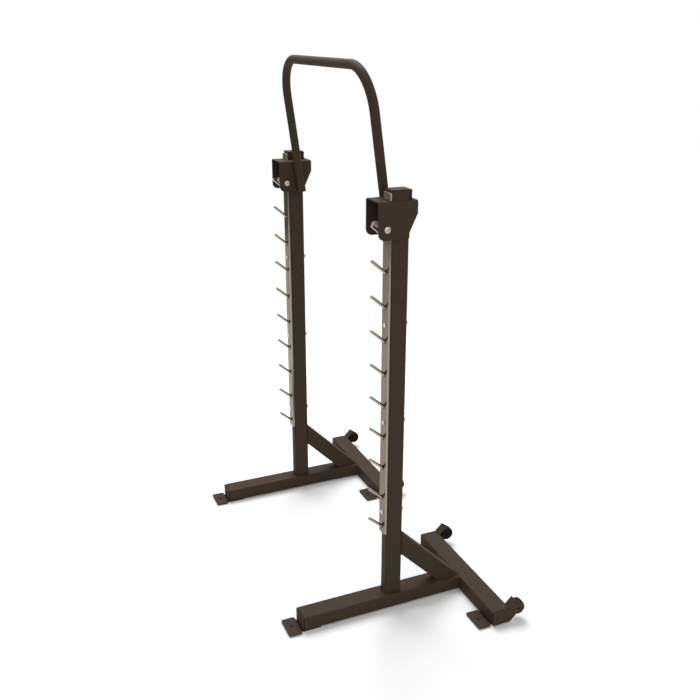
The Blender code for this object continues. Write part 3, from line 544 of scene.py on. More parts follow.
def addBrace(side):
    # straight lines down the slope, each from the post's rear plane to the leg's top plane
    low, high = boxOf(side + "_brace")
    slope, inwards = tilted(-brace["degrees"]), tilted(-brace["degrees"] - 90)
    section = roundedLoop(high[1] - low[1], brace["depth"], brace["corner"])
    top = np.array((low[0], (low[1] + high[1]) / 2, high[2]))
    start = top + section[:, :1] * (0, 1, 0) + (section[:, 1:] + brace["depth"] / 2) * inwards
    upper = start + slope * ((low[0] - start[:, :1]) / slope[0])
    lower = start + slope * ((low[2] - start[:, 2:]) / slope[2])
    shares = np.linspace(0, 1, brace["rows"])[:, None, None]
    grid = upper + (lower - upper) * shares
    addPiece(side + "_brace_tube", [capped(grid)], node=side + "_brace")
    seams = [beadPart(upper, (1, 0, 0), True), beadPart(lower, (0, 0, 1), True)]
    addPiece(side + "_brace_weld", seams)


for side in standHands:
    addBase(side)
    addUpright(side)
    addBrace(side)
print("tubes made")


# Catch strips: flat bar with ten slanted round pins, welded all round at their roots
strip = {"thickness": 0.0092, "corner": 0.009, "topCorner": 0.0015, "edge": 0.0017}
pins = {
    "count": 10, "pitch": 0.1397, "firstRise": 0.0346, "topDrop": 0.0048, "radius": 0.00635,
    "reach": 0.0611, "degrees": 40.5, "tip": 0.0013, "bead": 0.0019, "sides": 40,
}


def addCatchStrip(side):
    # a plate with rounded lower corners; each pin a profile turned about its slope, and its bead
    # the ellipse in which the slanted pin meets the plate
    low, high = boxOf(side + "_catch_strip")
    middleY = (low[1] + high[1]) / 2
    half = (high[1] - low[1]) / 2
    front = high[0] - strip["thickness"]
    bottom, top = low[2], high[2]
    loop = filleted([
        (-half, bottom, strip["corner"]), (half, bottom, strip["corner"]),
        (half, top, strip["topCorner"]), (-half, top, strip["topCorner"]),
    ])
    bar = placed(
        plateGrid(loop, strip["thickness"], strip["edge"]),
        axesMatrix((0, 1, 0), (0, 0, 1), (1, 0, 0), (front + strip["thickness"] / 2, middleY, 0)),
    )
    addPiece(side + "_strip_bar", [capped(bar)], "strip_steel", node=side + "_catch_strip")
    slope = tilted(180 - pins["degrees"])
    foreshortening = math.cos(math.radians(pins["degrees"]))
    length = pins["reach"] / foreshortening
    radius, tip = pins["radius"], pins["tip"]
    sunk = strip["thickness"] / 2
    inset, advance = quarterRound(tip)
    profile = [(0, -sunk), (radius, -sunk), (radius, 0)]
    profile += list(zip(radius - inset[::-1], length - advance[::-1])) + [(0, length)]
    angles = around(pins["sides"])
    ellipse = np.column_stack([np.cos(angles), np.sin(angles) / foreshortening]) * radius
    bodies, seams = [], []
    for k in range(pins["count"]):
        rise = pins["firstRise"] + k * pins["pitch"]
        if k == pins["count"] - 1:   # the top pin leaves room for the bracket's cross bolt
            rise -= pins["topDrop"]
        root = np.array((front, middleY, bottom + rise))
        bodies.append(capped(turnedGrid(profile, root, slope, pins["sides"])))
        seam = loopAt(ellipse + root[1:], (1, 2), front)
        seams.append(beadPart(seam, (1, 0, 0), True, pins["bead"]))
    addPiece(side + "_catch_pins", bodies, "pin_steel", "stands")
    # pin welds near black: painted shade round each pin's root
    addPiece(side + "_pin_welds", seams, "weld_painted_shade", "stands")


# Fasteners: domed heads with a hex socket, flanged nuts with chamfered corners, threaded tails
thread = {"pitch": 0.00125, "depth": 0.0004, "length": 0.016, "taper": 0.001, "sides": 32}
stripBolt = {"count": 4, "head": 0.0095, "height": 0.0052, "rim": 0.0016, "shank": 0.005,
             "socket": 0.0022, "socketDepth": 0.0012}
saddleBolt = {"head": 0.0128, "height": 0.006, "rim": 0.0034, "shank": 0.006,
              "socket": 0.0042, "socketDepth": 0.0016}
stripNut = {"flats": 0.017, "bore": 0.0052, "flange": 0.002, "flangeRadius": 0.0105}
saddleNut = {"flats": 0.0225, "bore": 0.0062, "flange": 0.0025, "flangeRadius": 0.014}
headShape = {"sides": 72, "domeSteps": 8, "edge": 0.0004, "lip": 1.2, "domeStop": 1.15,
             "lipDrop": 0.0003, "underHead": 0.0001}
nutShape = {"sides": 72, "flangeSide": 0.6, "flangeSlope": 0.4, "cone": 0.97, "coneDegrees": 30,
            "coneDrop": 0.0001, "boreEdge": 0.0006}


def hexRadius(apothem, angles):
    # distance from the middle to a hexagon's edge, at each angle
    return apothem / np.cos((angles + math.pi / 6) % (math.pi / 3) - math.pi / 6)


def turnedTo(grid, axis, seat):
    # a grid about Z turned to lie about another axis, and set on its seat
    turn = Vector((0, 0, 1)).rotation_difference(Vector(axis)).to_matrix().to_4x4()
    return placed(grid, turn) + np.array(seat)


def boltParts(sizes, seat, axis, length):
    # a dome sunk in the middle by a six-sided socket, then a shank with ridges near its end
    sides = headShape["sides"]
    hexagon = hexRadius(sizes["socket"], around(sides)) / sizes["socket"]
    turn = quarterTurn(headShape["domeSteps"])
    domeRise = sizes["height"] - sizes["rim"]
    lip = sizes["socket"] * headShape["lip"]
    radii = [sizes["head"] - headShape["edge"], sizes["head"]]
    heights = [0, headShape["edge"]]
    domeRadii = sizes["head"] * np.cos(turn)
    keep = domeRadii > lip * headShape["domeStop"]
    radii += list(domeRadii[keep])
    heights += list(sizes["rim"] + domeRise * np.sin(turn)[keep])
    mouth = sizes["rim"] + domeRise * math.sqrt(1 - (lip / sizes["head"]) ** 2)
    floor = mouth - sizes["socketDepth"]
    radii += [lip, sizes["socket"], sizes["socket"], 0.0]
    heights += [mouth, mouth - headShape["lipDrop"], floor, floor]
    head = turnedGrid(np.column_stack([radii, heights]), (0, 0, 0), (0, 0, 1), sides)
    head[-3:-1, :, :2] *= hexagon[:, None]
    ridges = np.arange(0, thread["length"], thread["pitch"] / 2)
    low = sizes["shank"] - thread["depth"] * (np.arange(len(ridges)) % 2)
    start, top, neck = thread["length"] - length, headShape["underHead"], sizes["shank"]
    shank = [(0, top), (neck, top), (neck, start), *zip(low, start - ridges)]
    shank += [(neck - thread["taper"], -length), (0, -length)]
    shank = turnedGrid(shank, seat, axis, thread["sides"])
    return [capped(turnedTo(head, axis, seat)), capped(shank)]


def nutPart(sizes, seat, axis, height):
    # rings from the round flange to the hexagon, whose top is cut back by a cone at the corners
    bore, flange, rim = sizes["bore"], sizes["flange"], sizes["flangeRadius"]
    sides, edge = nutShape["sides"], nutShape["boreEdge"]
    angles = around(sides)
    hexagon = hexRadius(sizes["flats"] / 2, angles)
    cone = sizes["flats"] / 2 * nutShape["cone"]
    past = np.maximum(hexagon - cone, 0) * math.tan(math.radians(nutShape["coneDegrees"]))
    rows = []
    for radius, level in (
        (bore, 0), (rim, 0), (rim, flange * nutShape["flangeSide"]),
        (rim - flange * nutShape["flangeSlope"], flange), (hexagon, flange),
        (hexagon, height - past - nutShape["coneDrop"]), (np.minimum(hexagon, cone), height),
        (bore + edge, height), (bore, height - edge),
    ):
        ring = np.broadcast_to(radius, sides), np.broadcast_to(level, sides)
        rows.append(np.column_stack([ring[0] * np.cos(angles), ring[0] * np.sin(angles), ring[1]]))
    return gridPart(turnedTo(np.stack(rows), axis, seat), wrapRows=True)


def addStripFasteners(side):
    # four bolts with their heads on the strip, and flanged nuts behind the post
    for i in range(1, stripBolt["count"] + 1):
        bolt, nut = "%s_strip_bolt_%d" % (side, i), "%s_strip_nut_%d" % (side, i)
        low, high = boxOf(bolt)
        middle = (low + high) / 2
        seat = np.array((low[0] + stripBolt["height"], middle[1], middle[2]))
        parts = boltParts(stripBolt, seat, (-1, 0, 0), high[0] - seat[0])
        # painted highlight: the strip screws in the paler zinc
        addPiece("%s_strip_screw_%d" % (side, i), parts, "screw_steel",
                 node=bolt, sharp=30)
        low, high = boxOf(nut)
        part = nutPart(stripNut, (low[0], middle[1], middle[2]), (1, 0, 0), high[0] - low[0])
        addPiece("%s_strip_flange_nut_%d" % (side, i), [part], "bright_steel", node=nut, sharp=30)


def addSaddleFasteners(side):
    # one bolt across the bracket, its nut inside the far cheek
    low, high = boxOf(side + "_saddle_bolt")
    middle = (low + high) / 2
    seat = np.array((middle[0], low[1] + saddleBolt["height"], middle[2]))
    parts = boltParts(saddleBolt, seat, (0, -1, 0), high[1] - seat[1])
    addPiece(side + "_cross_bolt", parts, "bright_steel", "arch",
             node=side + "_saddle_bolt", sharp=30)
    low, high = boxOf(side + "_saddle_nut")
    part = nutPart(saddleNut, (middle[0], high[1], middle[2]), (0, -1, 0), high[1] - low[1])
    addPiece(side + "_cross_nut", [part], "zinc_steel", "arch",
             node=side + "_saddle_nut", sharp=30)


for side in standHands:
    addCatchStrip(side)
    addStripFasteners(side)
    addSaddleFasteners(side)
print("catch strips and fasteners made")


# Saddle brackets: one plate bent into an upturned U, open above where the post passes through
bracket = {
    "plate": 0.005, "bend": 0.011, "frontCorner": 0.026, "toe": 0.0336, "toeHeight": 0.023,
    "toeCorner": 0.006, "rearHeight": 0.0513, "rearCorner": 0.008, "clearance": 0.0009,
    "edge": 0.0011, "edgeSteps": 3, "edgeDegrees": 50, "cornerSteps": 10, "bendSteps": 8,
    "rows": (0.001, 0.003, 0.035, 0.060, 0.115), "columns": (6, 1, 5, 3), "topBand": 0.0005,
}


def cornerCut(corner, height):
    # how far a round corner draws its edge in, at heights above the corner's foot
    sunk = np.clip(corner - height, 0, corner)
    return corner - np.sqrt(corner**2 - sunk**2)


def addSaddleBracket(side):
    # the plate's middle surface: up one cheek, round a bend, across, round a bend and down again,
    # each row running from the bracket's front edge to its rear edge at that height
    low, high = boxOf(side + "_saddle_bracket")
    postLow, postHigh = boxOf(side + "_upright")
    stripLow, stripHigh = boxOf(side + "_catch_strip")
    half = bracket["plate"] / 2
    bottom, top = low[2], high[2] - half
    rise = bracket["frontCorner"] * (1 - np.cos(quarterTurn(bracket["cornerSteps"])))
    bendRadius = bracket["bend"] - half
    toeLevel = bracket["toeHeight"]
    rearLevel = high[2] - bracket["rearHeight"] - bottom
    levels = np.concatenate([rise, [toeLevel, rearLevel], bracket["rows"]])
    levels = np.unique(np.round(levels, 5))
    levels = bottom + np.append(levels, top - bendRadius - bottom)
    arc = quarterTurn(bracket["bendSteps"])[1:]
    arcY, arcZ = bendRadius * (1 - np.cos(arc)), bendRadius * np.sin(arc)
    nearY, farY = low[1] + half, high[1] - half
    postY = (postLow[1] + postHigh[1]) / 2
    holeHalf = (postHigh[1] - postLow[1]) / 2 + bracket["clearance"]
    slotHalf = (stripHigh[1] - stripLow[1]) / 2 + bracket["clearance"]
    inner = [postY + d for d in (-slotHalf, -holeHalf, holeHalf, slotHalf)]
    flat = np.array([y for y in inner if nearY + bendRadius < y < farY - bendRadius])
    pathY = np.concatenate([np.full(len(levels), nearY), nearY + arcY, flat,
                            (farY - arcY)[::-1], np.full(len(levels), farY)])
    pathZ = np.concatenate([levels, levels[-1] + arcZ, np.full(len(flat), top),
                            (levels[-1] + arcZ)[::-1], levels[::-1]])
    above = pathZ - bottom
    frontX = low[0] + cornerCut(bracket["frontCorner"], above)
    toeX = high[0] - bracket["toe"]
    rearX = np.interp(above, [0, toeLevel, rearLevel], [toeX, toeX, high[0]])
    rearX -= cornerCut(bracket["toeCorner"], above)
    rearX -= cornerCut(bracket["rearCorner"], high[2] - pathZ)
    slotFront = stripHigh[0] - strip["thickness"] - bracket["clearance"]
    slotRear = stripHigh[0] + bracket["clearance"]
    holeRear = postHigh[0] + bracket["clearance"]
    crest = len(levels) + len(arc)   # a row on the flat top
    stops = [frontX[crest], slotFront, slotRear, holeRear, rearX[crest]]
    columns = np.concatenate([np.linspace(a, b, n, endpoint=False)
                              for a, b, n in zip(stops, stops[1:], bracket["columns"])]
                             + [stops[-1:]])
    shares = (columns - stops[0]) / (stops[-1] - stops[0])
    grid = np.zeros((len(pathY), len(shares), 3))
    grid[:, :, 0] = frontX[:, None] + (rearX - frontX)[:, None] * shares
    grid[:, :, 1] = pathY[:, None]
    grid[:, :, 2] = pathZ[:, None]
    points, quads, _ = gridPart(grid, wrapColumns=False)
    centres = points[quads].mean(1)
    aside = np.abs(centres[:, 1] - postY)
    onTop = centres[:, 2] > top - bracket["topBand"]
    inSlot = (centres[:, 0] > slotFront) & (centres[:, 0] < slotRear) & (aside < slotHalf)
    inHole = (centres[:, 0] > slotFront) & (centres[:, 0] < holeRear) & (aside < holeHalf)
    quads = quads[~(onTop & (inSlot | inHole))]
    piece = addPiece(side + "_bent_bracket", [(points, quads, [])], body="arch",
                     node=side + "_saddle_bracket")
    wall = piece.modifiers.new("plate", "SOLIDIFY")
    wall.thickness = bracket["plate"]
    wall.offset = 0
    wall.use_even_offset = True
    edges = piece.modifiers.new("rolled edges", "BEVEL")
    edges.width = bracket["edge"]
    edges.segments = bracket["edgeSteps"]
    edges.limit_method = "ANGLE"
    edges.angle_limit = math.radians(bracket["edgeDegrees"])
    piece.modifiers.move(0, 2)


# Hoods: a strap bent over each post's top and down behind it, with a cheek plate on either side
hood = {"plate": 0.0055, "edge": 0.0022, "bend": 0.0085, "inner": 0.003, "cut": 0.0004,
        "front": 0.0018, "cheekCorner": 0.0006, "startGap": 0.0003, "seamGap": 0.0052,
        "recess": 0.0030, "cuts": 8, "bead": 0.0016, "rearBead": 0.0030, "weldInset": 0.001}


def addHood(side):
    # the strap's side view, cut fine and given its width; behind the post it is drawn in a little
    low, high = boxOf(side + "_hood")
    postLow, _ = boxOf(side + "_upright")
    ceiling, innerX = high[2] - hood["plate"], high[0] - hood["plate"]
    middleY, width = (low[1] + high[1]) / 2, high[1] - low[1]
    cut = hood["cut"]
    sideView = filleted([
        (low[0], ceiling, cut), (innerX, ceiling, hood["inner"]), (innerX, low[2], cut),
        (high[0], low[2], cut), (high[0], high[2], hood["bend"]), (low[0], high[2], hood["front"]),
    ])
    strap = placed(
        plateGrid(subdivided(sideView, hood["cuts"]), width, hood["edge"]),
        axesMatrix((1, 0, 0), (0, 0, 1), (0, 1, 0), (0, middleY, 0)),
    )
    drawn = 1 - 2 * hood["recess"] / width * (strap[:, :, 2] < ceiling - hood["inner"])
    strap[:, :, 1] = middleY + (strap[:, :, 1] - middleY) * drawn
    parts = [capped(strap)]
    start, stop = postLow[0] + hood["startGap"], innerX - hood["seamGap"]
    for outer, inner in ((low[1], low[1] + hood["plate"]), (high[1] - hood["plate"], high[1])):
        cheek = barGrid((start, outer, low[2]), (stop, inner, ceiling), 2, hood["cheekCorner"])
        parts.append(capped(cheek))
    addPiece(side + "_post_hood", parts, body="arch", node=side + "_hood")
    seams = [beadPart([(start, y, low[2]), (stop, y, low[2])], (0, 0, 1), False, hood["bead"])
             for y in (low[1], high[1])]
    addPiece(side + "_hood_weld", seams, body="arch")
    inset = hood["weldInset"]
    x, foot, top = stop + hood["seamGap"] / 2, low[2] + inset, ceiling - inset
    seams = [beadPart([(x, y, foot), (x, y, top)], (1, 0, 0), False, hood["rearBead"])
             for y in (low[1] + hood["recess"], high[1] - hood["recess"])]
    # near-black welds in the gaps behind the cheeks: painted shade
    addPiece(side + "_hood_rear_weld", seams, "weld_painted_shade", "arch")


# Arch: one round tube, leaning forwards, with two bends of the same radius
arch = {"radius": 0.01905, "wall": 0.0026, "bend": 0.168, "leanDegrees": 7.98, "sides": 48,
        "legSteps": 11, "bendSteps": 40, "bead": 0.0030, "weldDrop": 0.006, "weldBack": 0.48,
        "weldOut": 0.0012}


def archPath():
    # straight up a leg, a quarter circle, straight across, a quarter circle and down, in a plane
    # that leans forwards about the line through both feet
    low, high = boxOf("arch_tube")
    lean = math.radians(arch["leanDegrees"])
    half = high[1] - arch["radius"]
    footX = high[0] - arch["radius"] * math.cos(lean)
    footZ = low[2] + arch["radius"] * math.sin(lean)
    rise = (high[2] - arch["radius"] - footZ) / math.cos(lean)
    turn = quarterTurn(arch["bendSteps"])
    bendY = half - arch["bend"] + arch["bend"] * np.cos(turn)
    bendUp = rise - arch["bend"] + arch["bend"] * np.sin(turn)
    legUp = np.linspace(0, rise - arch["bend"], arch["legSteps"] + 1)[:-1]
    y = np.concatenate([np.full(len(legUp), half), bendY])
    up = np.concatenate([legUp, bendUp])
    y, up = np.concatenate([y, -y[::-1]]), np.concatenate([up, up[::-1]])
    path = np.column_stack([footX - up * math.sin(lean), y, footZ + up * math.cos(lean)])
    return path, tilted(arch["leanDegrees"])


def addArch():
    # a tube: the outer and the inner round along one path
    path, across = archPath()
    outer = roundAlong(path, arch["radius"], across, arch["sides"])
    inner = roundAlong(path, arch["radius"] - arch["wall"], across, arch["sides"])
    grid = np.concatenate([outer, inner[::-1]])
    addPiece("arch_pipe", [gridPart(grid, wrapRows=True)], body="arch", node="arch_tube")
    seams = []
    for side, hand in standHands.items():   # a bead in the rear crease of a leg and its cheek
        low, high = boxOf(side + "_saddle_bracket")
        cheekY = high[1] if hand < 0 else low[1]
        foot = path[0]
        upDirection = unit(path[1] - path[0])
        length = (high[2] - arch["weldDrop"] - foot[2]) / upDirection[2]
        crease = foot + across * arch["radius"] * arch["weldBack"]
        ends = np.array([crease, crease + upDirection * length])
        ends[:, 1] = cheekY - hand * arch["weldOut"]
        seams.append(beadPart(ends, (0, 1, 0), False, arch["bead"]))
    addPiece("arch_welds", seams, body="arch")


for side in standHands:
    addSaddleBracket(side)
    addHood(side)
addArch()
print("arch, brackets and hoods made")


# Wheel brackets: the tube's end plate with an arm at 45 degrees and a guard over the wheel
wheelArm = {"plate": 0.006, "corner": 0.005, "armRadius": 0.028, "guardLength": 0.0415,
            "guardPlate": 0.005, "degrees": 45, "edge": 0.0014, "hole": 0.0053, "chamfer": 0.0005,
            "guardStart": 0.0025, "guardSink": 0.0003, "tipReach": 0.0465, "tipRise": 0.0055,
            "joint": 0.0004, "heel": 0.003, "tipCorner": 0.0015, "guardCorner": 0.0012,
            "lobeSteps": 24, "cuts": 3, "bead": 0.0016, "weldStart": 0.003, "weldStop": 0.002}


def wheelArmLoop(tubeLow, tubeHigh, axleX, axleZ):
    # the tube's end, then up along the guard, round about the axle and back down at 45 degrees
    degrees = wheelArm["degrees"]
    slope, aboveSlope = tilted(degrees)[[0, 2]], tilted(degrees + 90)[[0, 2]]
    centre = np.array((axleX, axleZ))
    root, lowCorner = np.array((tubeHigh[0], tubeHigh[2])), np.array((tubeHigh[0], tubeLow[2]))
    tip = root + slope * wheelArm["tipReach"] + aboveSlope * wheelArm["tipRise"]
    radius = wheelArm["armRadius"]
    toTip = tip - centre
    leave = math.atan2(toTip[1], toTip[0]) - math.acos(radius / np.linalg.norm(toTip))
    along = (centre - lowCorner) @ slope
    aside = np.linalg.norm(centre - lowCorner - slope * along)
    meet = lowCorner + slope * (along - math.sqrt(radius**2 - aside**2)) - centre
    arrive = math.atan2(meet[1], meet[0])
    lobeAngles = np.linspace(leave, arrive, wheelArm["lobeSteps"] + 1)
    lobe = centre + radius * np.column_stack([np.cos(lobeAngles), np.sin(lobeAngles)])
    corner, joint, steps = wheelArm["corner"], wheelArm["joint"], 4
    body = filleted([
        (*lobe[-1], joint), (*lowCorner, wheelArm["heel"]), (tubeLow[0], tubeLow[2], corner),
        (tubeLow[0], tubeHigh[2], corner), (*root, joint), (*tip, wheelArm["tipCorner"]),
        (*lobe[0], joint),
    ], steps)
    return np.vstack([body[steps + 1 : -steps - 1], lobe])[::-1]


def addWheelEnd(side, place, end):
    # the end plate with its arm, bored for the axle, and the guard laid along the slope
    name = "%s_%s_" % (side, place)
    tubeLow, tubeHigh = boxOf(side + "_cross_tube")
    axleLow, axleHigh = boxOf(name + "axle")
    axleX, axleZ = (axleLow[0] + axleHigh[0]) / 2, (axleLow[2] + axleHigh[2]) / 2
    low, high = boxOf(name + "wheel_bracket")
    plateY = (high[1] if end > 0 else low[1]) - end * wheelArm["plate"] / 2
    loop = subdivided(wheelArmLoop(tubeLow, tubeHigh, axleX, axleZ), wheelArm["cuts"])
    hole = ((axleX, axleZ), wheelArm["hole"], wheelArm["chamfer"])
    plate = placed(
        plateGrid(loop, wheelArm["plate"], wheelArm["edge"], hole),
        axesMatrix((1, 0, 0), (0, 0, 1), (0, 1, 0), (0, plateY, 0)),
    )
    along, across = tilted(wheelArm["degrees"]), tilted(wheelArm["degrees"] + 90)
    width = high[1] - low[1]
    guard = barGrid((-wheelArm["guardStart"], -width / 2, 0),
                    (wheelArm["guardLength"], width / 2, wheelArm["guardPlate"]),
                    1, wheelArm["guardCorner"], [wheelArm["guardCorner"]] * 2)
    root = np.array((tubeHigh[0], (low[1] + high[1]) / 2, tubeHigh[2]))
    root = root - across * wheelArm["guardSink"]
    guard = placed(guard, axesMatrix(along, (0, 1, 0), across, root))
    addPiece(name + "wheel_arm", [gridPart(plate, wrapRows=True), capped(guard)],
             node=name + "wheel_bracket")
    inner = plateY - end * wheelArm["plate"] / 2
    reach = wheelArm["weldStart"], wheelArm["guardLength"] - wheelArm["weldStop"]
    seamEnds = root + along * np.array(reach)[:, None]
    seamEnds[:, 1] = inner
    tubeSeam = np.array([root, root])
    tubeSeam[:, 1] = inner, root[1] - end * width / 2
    seams = [beadPart(seamEnds, (0, 1, 0), False, wheelArm["bead"]),
             beadPart(tubeSeam, (0, 0, 1), False, wheelArm["bead"])]
    addPiece(name + "guard_weld", seams)


# Wheels: moulded nylon on plain pins, a shallow ring sunk in the face and a hub towards the arm
wheel = {"hub": 0.012, "standoff": 0.002, "bore": 0.0053, "recess": 0.0076, "recessDeep": 0.0045,
         "shoulder": 0.004, "ringOuter": 0.0235, "ringInner": 0.0125, "ringDeep": 0.0024,
         "slant": 0.0008, "crown": 0.0004, "shoulderSteps": 5, "sides": 72}
axle = {"radius": 0.005, "edge": 0.0008, "sunk": 0.0024, "headDeep": 0.0036,
        "centre": 0.002, "centreDeep": 0.0005, "sides": 40}


def addWheel(side, place, end):
    # two profiles turned about the axle's line, from the arm outwards: the wheel's and the pin's
    name = "%s_%s_wheel" % (side, place)
    low, high = boxOf(name)
    middle = (low + high) / 2
    radius = (high[2] - low[2]) / 2
    start = np.array((middle[0], high[1] if end > 0 else low[1], middle[2]))
    width = high[1] - low[1]
    face, rear = width, wheel["standoff"]
    turn = quarterTurn(wheel["shoulderSteps"])
    flat = radius - wheel["crown"] - wheel["shoulder"]
    rearShoulder = np.column_stack([flat + wheel["shoulder"] * np.sin(turn),
                                    rear + wheel["shoulder"] * (1 - np.cos(turn))])
    faceShoulder = rearShoulder[::-1] * (1, -1) + (0, face + rear)
    outer, inner, deep = wheel["ringOuter"], wheel["ringInner"], wheel["ringDeep"]
    slant = wheel["slant"]
    profile = [
        (wheel["bore"], 0), (wheel["hub"], 0), (wheel["hub"], rear), (inner + slant, rear),
        (inner + 2 * slant, rear + deep), (outer - slant, rear + deep), (outer, rear),
        *rearShoulder, (radius, (face + rear) / 2), *faceShoulder,
        (outer, face), (outer - slant, face - deep), (inner + slant, face - deep), (inner, face),
        (wheel["recess"], face), (wheel["recess"], face - wheel["recessDeep"]),
        (wheel["bore"], face - wheel["recessDeep"]),
    ]
    grid = turnedGrid(profile, start, (0, -end, 0), wheel["sides"])
    addPiece(name + "_tyre", [gridPart(grid, wrapRows=True)], "wheel_plastic", name,
             node=name, sharp=30)
    axleName = "%s_%s_axle" % (side, place)
    low, high = boxOf(axleName)
    length, head = high[1] - low[1], (high[2] - low[2]) / 2
    start = np.array((middle[0], high[1] if end > 0 else low[1], middle[2]))
    pin, edge, sunk, seat = axle["radius"], axle["edge"], axle["sunk"], length - axle["headDeep"]
    profile = [(0, sunk), (pin - edge, sunk), (pin, sunk + edge), (pin, seat), (head, seat),
               (head, length - edge), (head - edge, length), (axle["centre"], length),
               (0, length - axle["centreDeep"])]
    grid = turnedGrid(profile, start, (0, -end, 0), axle["sides"])
    addPiece(axleName + "_pin", [capped(grid)], "dark_steel", node=axleName, sharp=30)


# Floor anchors and rubber pads
anchor = {"corner": 0.006, "weldCorner": 0.010, "edge": 0.0009, "hole": 0.007, "holeBack": 0.0365,
          "chamfer": 0.0003, "steps": 5, "cuts": 12, "weldGap": 0.0050, "weldInset": 0.004,
          "weldRise": 0.0008, "bead": 0.0024}
pad = {"corner": 0.004, "edge": 0.0012}


def addAnchor(side, place):
    # a plate with one hole, cut short of the tube, and a weld in the gap, near black as painted
    # shade
    name = "%s_%s_anchor_plate" % (side, place)
    low, high = boxOf(name)
    edgeX = high[0] - anchor["weldGap"]
    loop = filleted([
        (low[0], low[1], anchor["corner"]), (edgeX, low[1], anchor["weldCorner"]),
        (edgeX, high[1], anchor["weldCorner"]), (low[0], high[1], anchor["corner"]),
    ], anchor["steps"])
    middleY = (low[1] + high[1]) / 2
    hole = ((high[0] - anchor["holeBack"], middleY), anchor["hole"], anchor["chamfer"])
    thickness = high[2] - low[2]
    grid = plateGrid(subdivided(loop, anchor["cuts"]), thickness, anchor["edge"], hole)
    grid = grid + (0, 0, (low[2] + high[2]) / 2)
    addPiece(name + "_steel", [gridPart(grid, wrapRows=True)], node=name)
    inset, corner = anchor["weldInset"], anchor["weldCorner"]
    tubeLow, tubeHigh = boxOf(side + ("_leg" if place == "front" else "_cross_tube"))
    span = [max(low[1] + corner, tubeLow[1]) + inset, min(high[1] - corner, tubeHigh[1]) - inset]
    seam = [(high[0] - anchor["weldGap"] / 2, y, low[2] + anchor["weldRise"]) for y in span]
    # the weld in the gap, near black: painted shade
    addPiece(name + "_weld", [beadPart(seam, (0, 0, 1), False, anchor["bead"])],
             "weld_painted_shade")


def addPad(side, place):
    # a low bar with rounded edges
    name = "%s_%s_pad" % (side, place)
    low, high = boxOf(name)
    grid = barGrid(low, high, 2, pad["corner"], (pad["edge"], pad["edge"]))
    addPiece(name + "_rubber", [capped(grid)], "black_rubber", node=name)


for side, hand in standHands.items():
    for place, end in (("outer", hand), ("inner", -hand)):
        addWheelEnd(side, place, end)
        addWheel(side, place, end)
    for place in ("front", "outer", "inner"):
        addAnchor(side, place)
        addPad(side, place)
print("wheels, anchors and pads made")


# Stage: a white floor that shades off into a white world, and soft lamps overhead
stage = {
    "floorHalf": 40.0, "floorGain": 0.90, "bounce": 0.70,
    "nearRadius": 2.6, "farRadius": 4.2, "edgeRadius": 6.2, "edgeFade": 0.4, "beyond": 0.20,
    "world": 0.62,
}
lamps = [
    {"place": (0.5, 3.4, 6.9), "aim": (0.0, 0.0, 0.6), "size": 4.4, "watts": 480},
    {"place": (0.3, -5.0, 2.4), "aim": (0.0, 0.0, 1.0), "size": 2.4, "watts": 35},
]


def seenDirectly(tree):
    # 1 for what the camera sees, straight or in a reflection or through glass, and 0 for light
    rays = addNode(tree, "ShaderNodeLightPath", {})
    visible = rays.outputs["Is Camera Ray"]
    for kind in ("Is Glossy Ray", "Is Transmission Ray"):
        both = addNode(tree, "ShaderNodeMath", {"operation": "MAXIMUM"}, {
            0: visible, 1: rays.outputs[kind]})
        visible = both.outputs[0]
    return visible


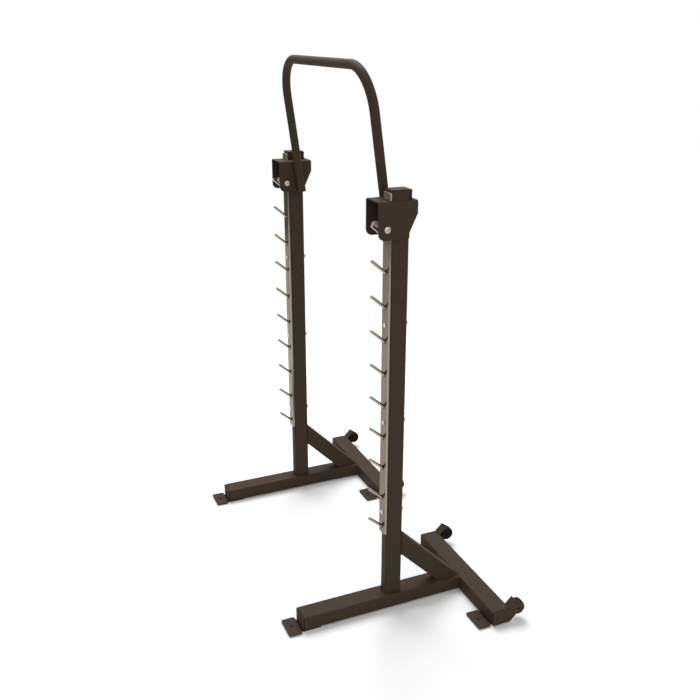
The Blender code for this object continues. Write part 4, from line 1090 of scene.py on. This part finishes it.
def addFloor(settings):
    # the floor shades the object's shadow, and turns plain white further out; light that bounces
    # off it is duller, and in reflections it ends at its edge, where a dimmer studio begins
    half = settings["floorHalf"]
    mesh = bpy.data.meshes.new("floor")
    corners = [(-half, -half, 0), (half, -half, 0), (half, half, 0), (-half, half, 0)]
    mesh.from_pydata(corners, [], [(0, 1, 2, 3)])
    floor = bpy.data.objects.new("floor", mesh)
    bpy.context.scene.collection.objects.link(floor)
    material = bpy.data.materials.new("paleFloor")
    material.use_nodes = True
    tree = material.node_tree
    tree.nodes.clear()
    output = addNode(tree, "ShaderNodeOutputMaterial", {})
    seen = addNode(tree, "ShaderNodeBsdfDiffuse", {"Color": (*[settings["floorGain"]] * 3, 1)})
    plain = addNode(tree, "ShaderNodeEmission", {"Strength": 1.0})
    dull = addNode(tree, "ShaderNodeBsdfDiffuse", {"Color": (*[settings["bounce"]] * 3, 1)})
    place = addNode(tree, "ShaderNodeTexCoord", {}).outputs["Object"]
    away = addNode(tree, "ShaderNodeVectorMath", {"operation": "LENGTH"}, {0: place})
    distance = {"Value": away.outputs["Value"]}
    span = {"From Min": settings["nearRadius"], "From Max": settings["farRadius"]}
    share = addNode(tree, "ShaderNodeMapRange", {"interpolation_type": "SMOOTHSTEP", **span},
                    distance)
    edge = settings["edgeRadius"]
    span = {"From Min": edge, "From Max": edge + settings["edgeFade"]}
    beyond = addNode(tree, "ShaderNodeMapRange", span, distance)
    mirrored = addNode(tree, "ShaderNodeLightPath", {}).outputs["Is Glossy Ray"]
    outside = addNode(tree, "ShaderNodeMath", {"operation": "MULTIPLY"}, {
        0: beyond.outputs[0], 1: mirrored})
    dim = addNode(tree, "ShaderNodeEmission", {"Strength": settings["beyond"]})
    shown = addNode(tree, "ShaderNodeMixShader", {}, {
        0: share.outputs[0], 1: seen.outputs[0], 2: plain.outputs[0]})
    shown = addNode(tree, "ShaderNodeMixShader", {}, {
        0: outside.outputs[0], 1: shown.outputs[0], 2: dim.outputs[0]})
    mixed = addNode(tree, "ShaderNodeMixShader", {}, {
        0: seenDirectly(tree), 1: dull.outputs[0], 2: shown.outputs[0]})
    tree.links.new(mixed.outputs[0], output.inputs[0])
    mesh.materials.append(material)


def addWorld(settings):
    # white where it is seen, and softer as light
    world = bpy.data.worlds.new("studio")
    bpy.context.scene.world = world
    world.use_nodes = True
    tree = world.node_tree
    tree.nodes.clear()
    output = addNode(tree, "ShaderNodeOutputWorld", {})
    soft = addNode(tree, "ShaderNodeBackground", {"Strength": settings["world"]})
    white = addNode(tree, "ShaderNodeBackground", {"Strength": 1.0})
    for shader in (soft, white):
        shader.inputs["Color"].default_value = (1, 1, 1, 1)
    mixed = addNode(tree, "ShaderNodeMixShader", {}, {
        0: seenDirectly(tree), 1: soft.outputs[0], 2: white.outputs[0]})
    tree.links.new(mixed.outputs[0], output.inputs[0])


def addLamps(settings):
    # square softboxes, each turned to its aim
    for i, lamp in enumerate(settings):
        data = bpy.data.lights.new("softbox_%d" % i, "AREA")
        data.shape = "SQUARE"
        data.size = lamp["size"]
        data.energy = lamp["watts"]
        light = bpy.data.objects.new("softbox_%d" % i, data)
        light.location = lamp["place"]
        aim = Vector(lamp["aim"]) - Vector(lamp["place"])
        light.rotation_euler = aim.to_track_quat("-Z", "Y").to_euler()
        bpy.context.scene.collection.objects.link(light)


addFloor(stage)
addWorld(stage)
addLamps(lamps)
bpy.context.scene.view_settings.view_transform = "Standard"
print("stage lit")
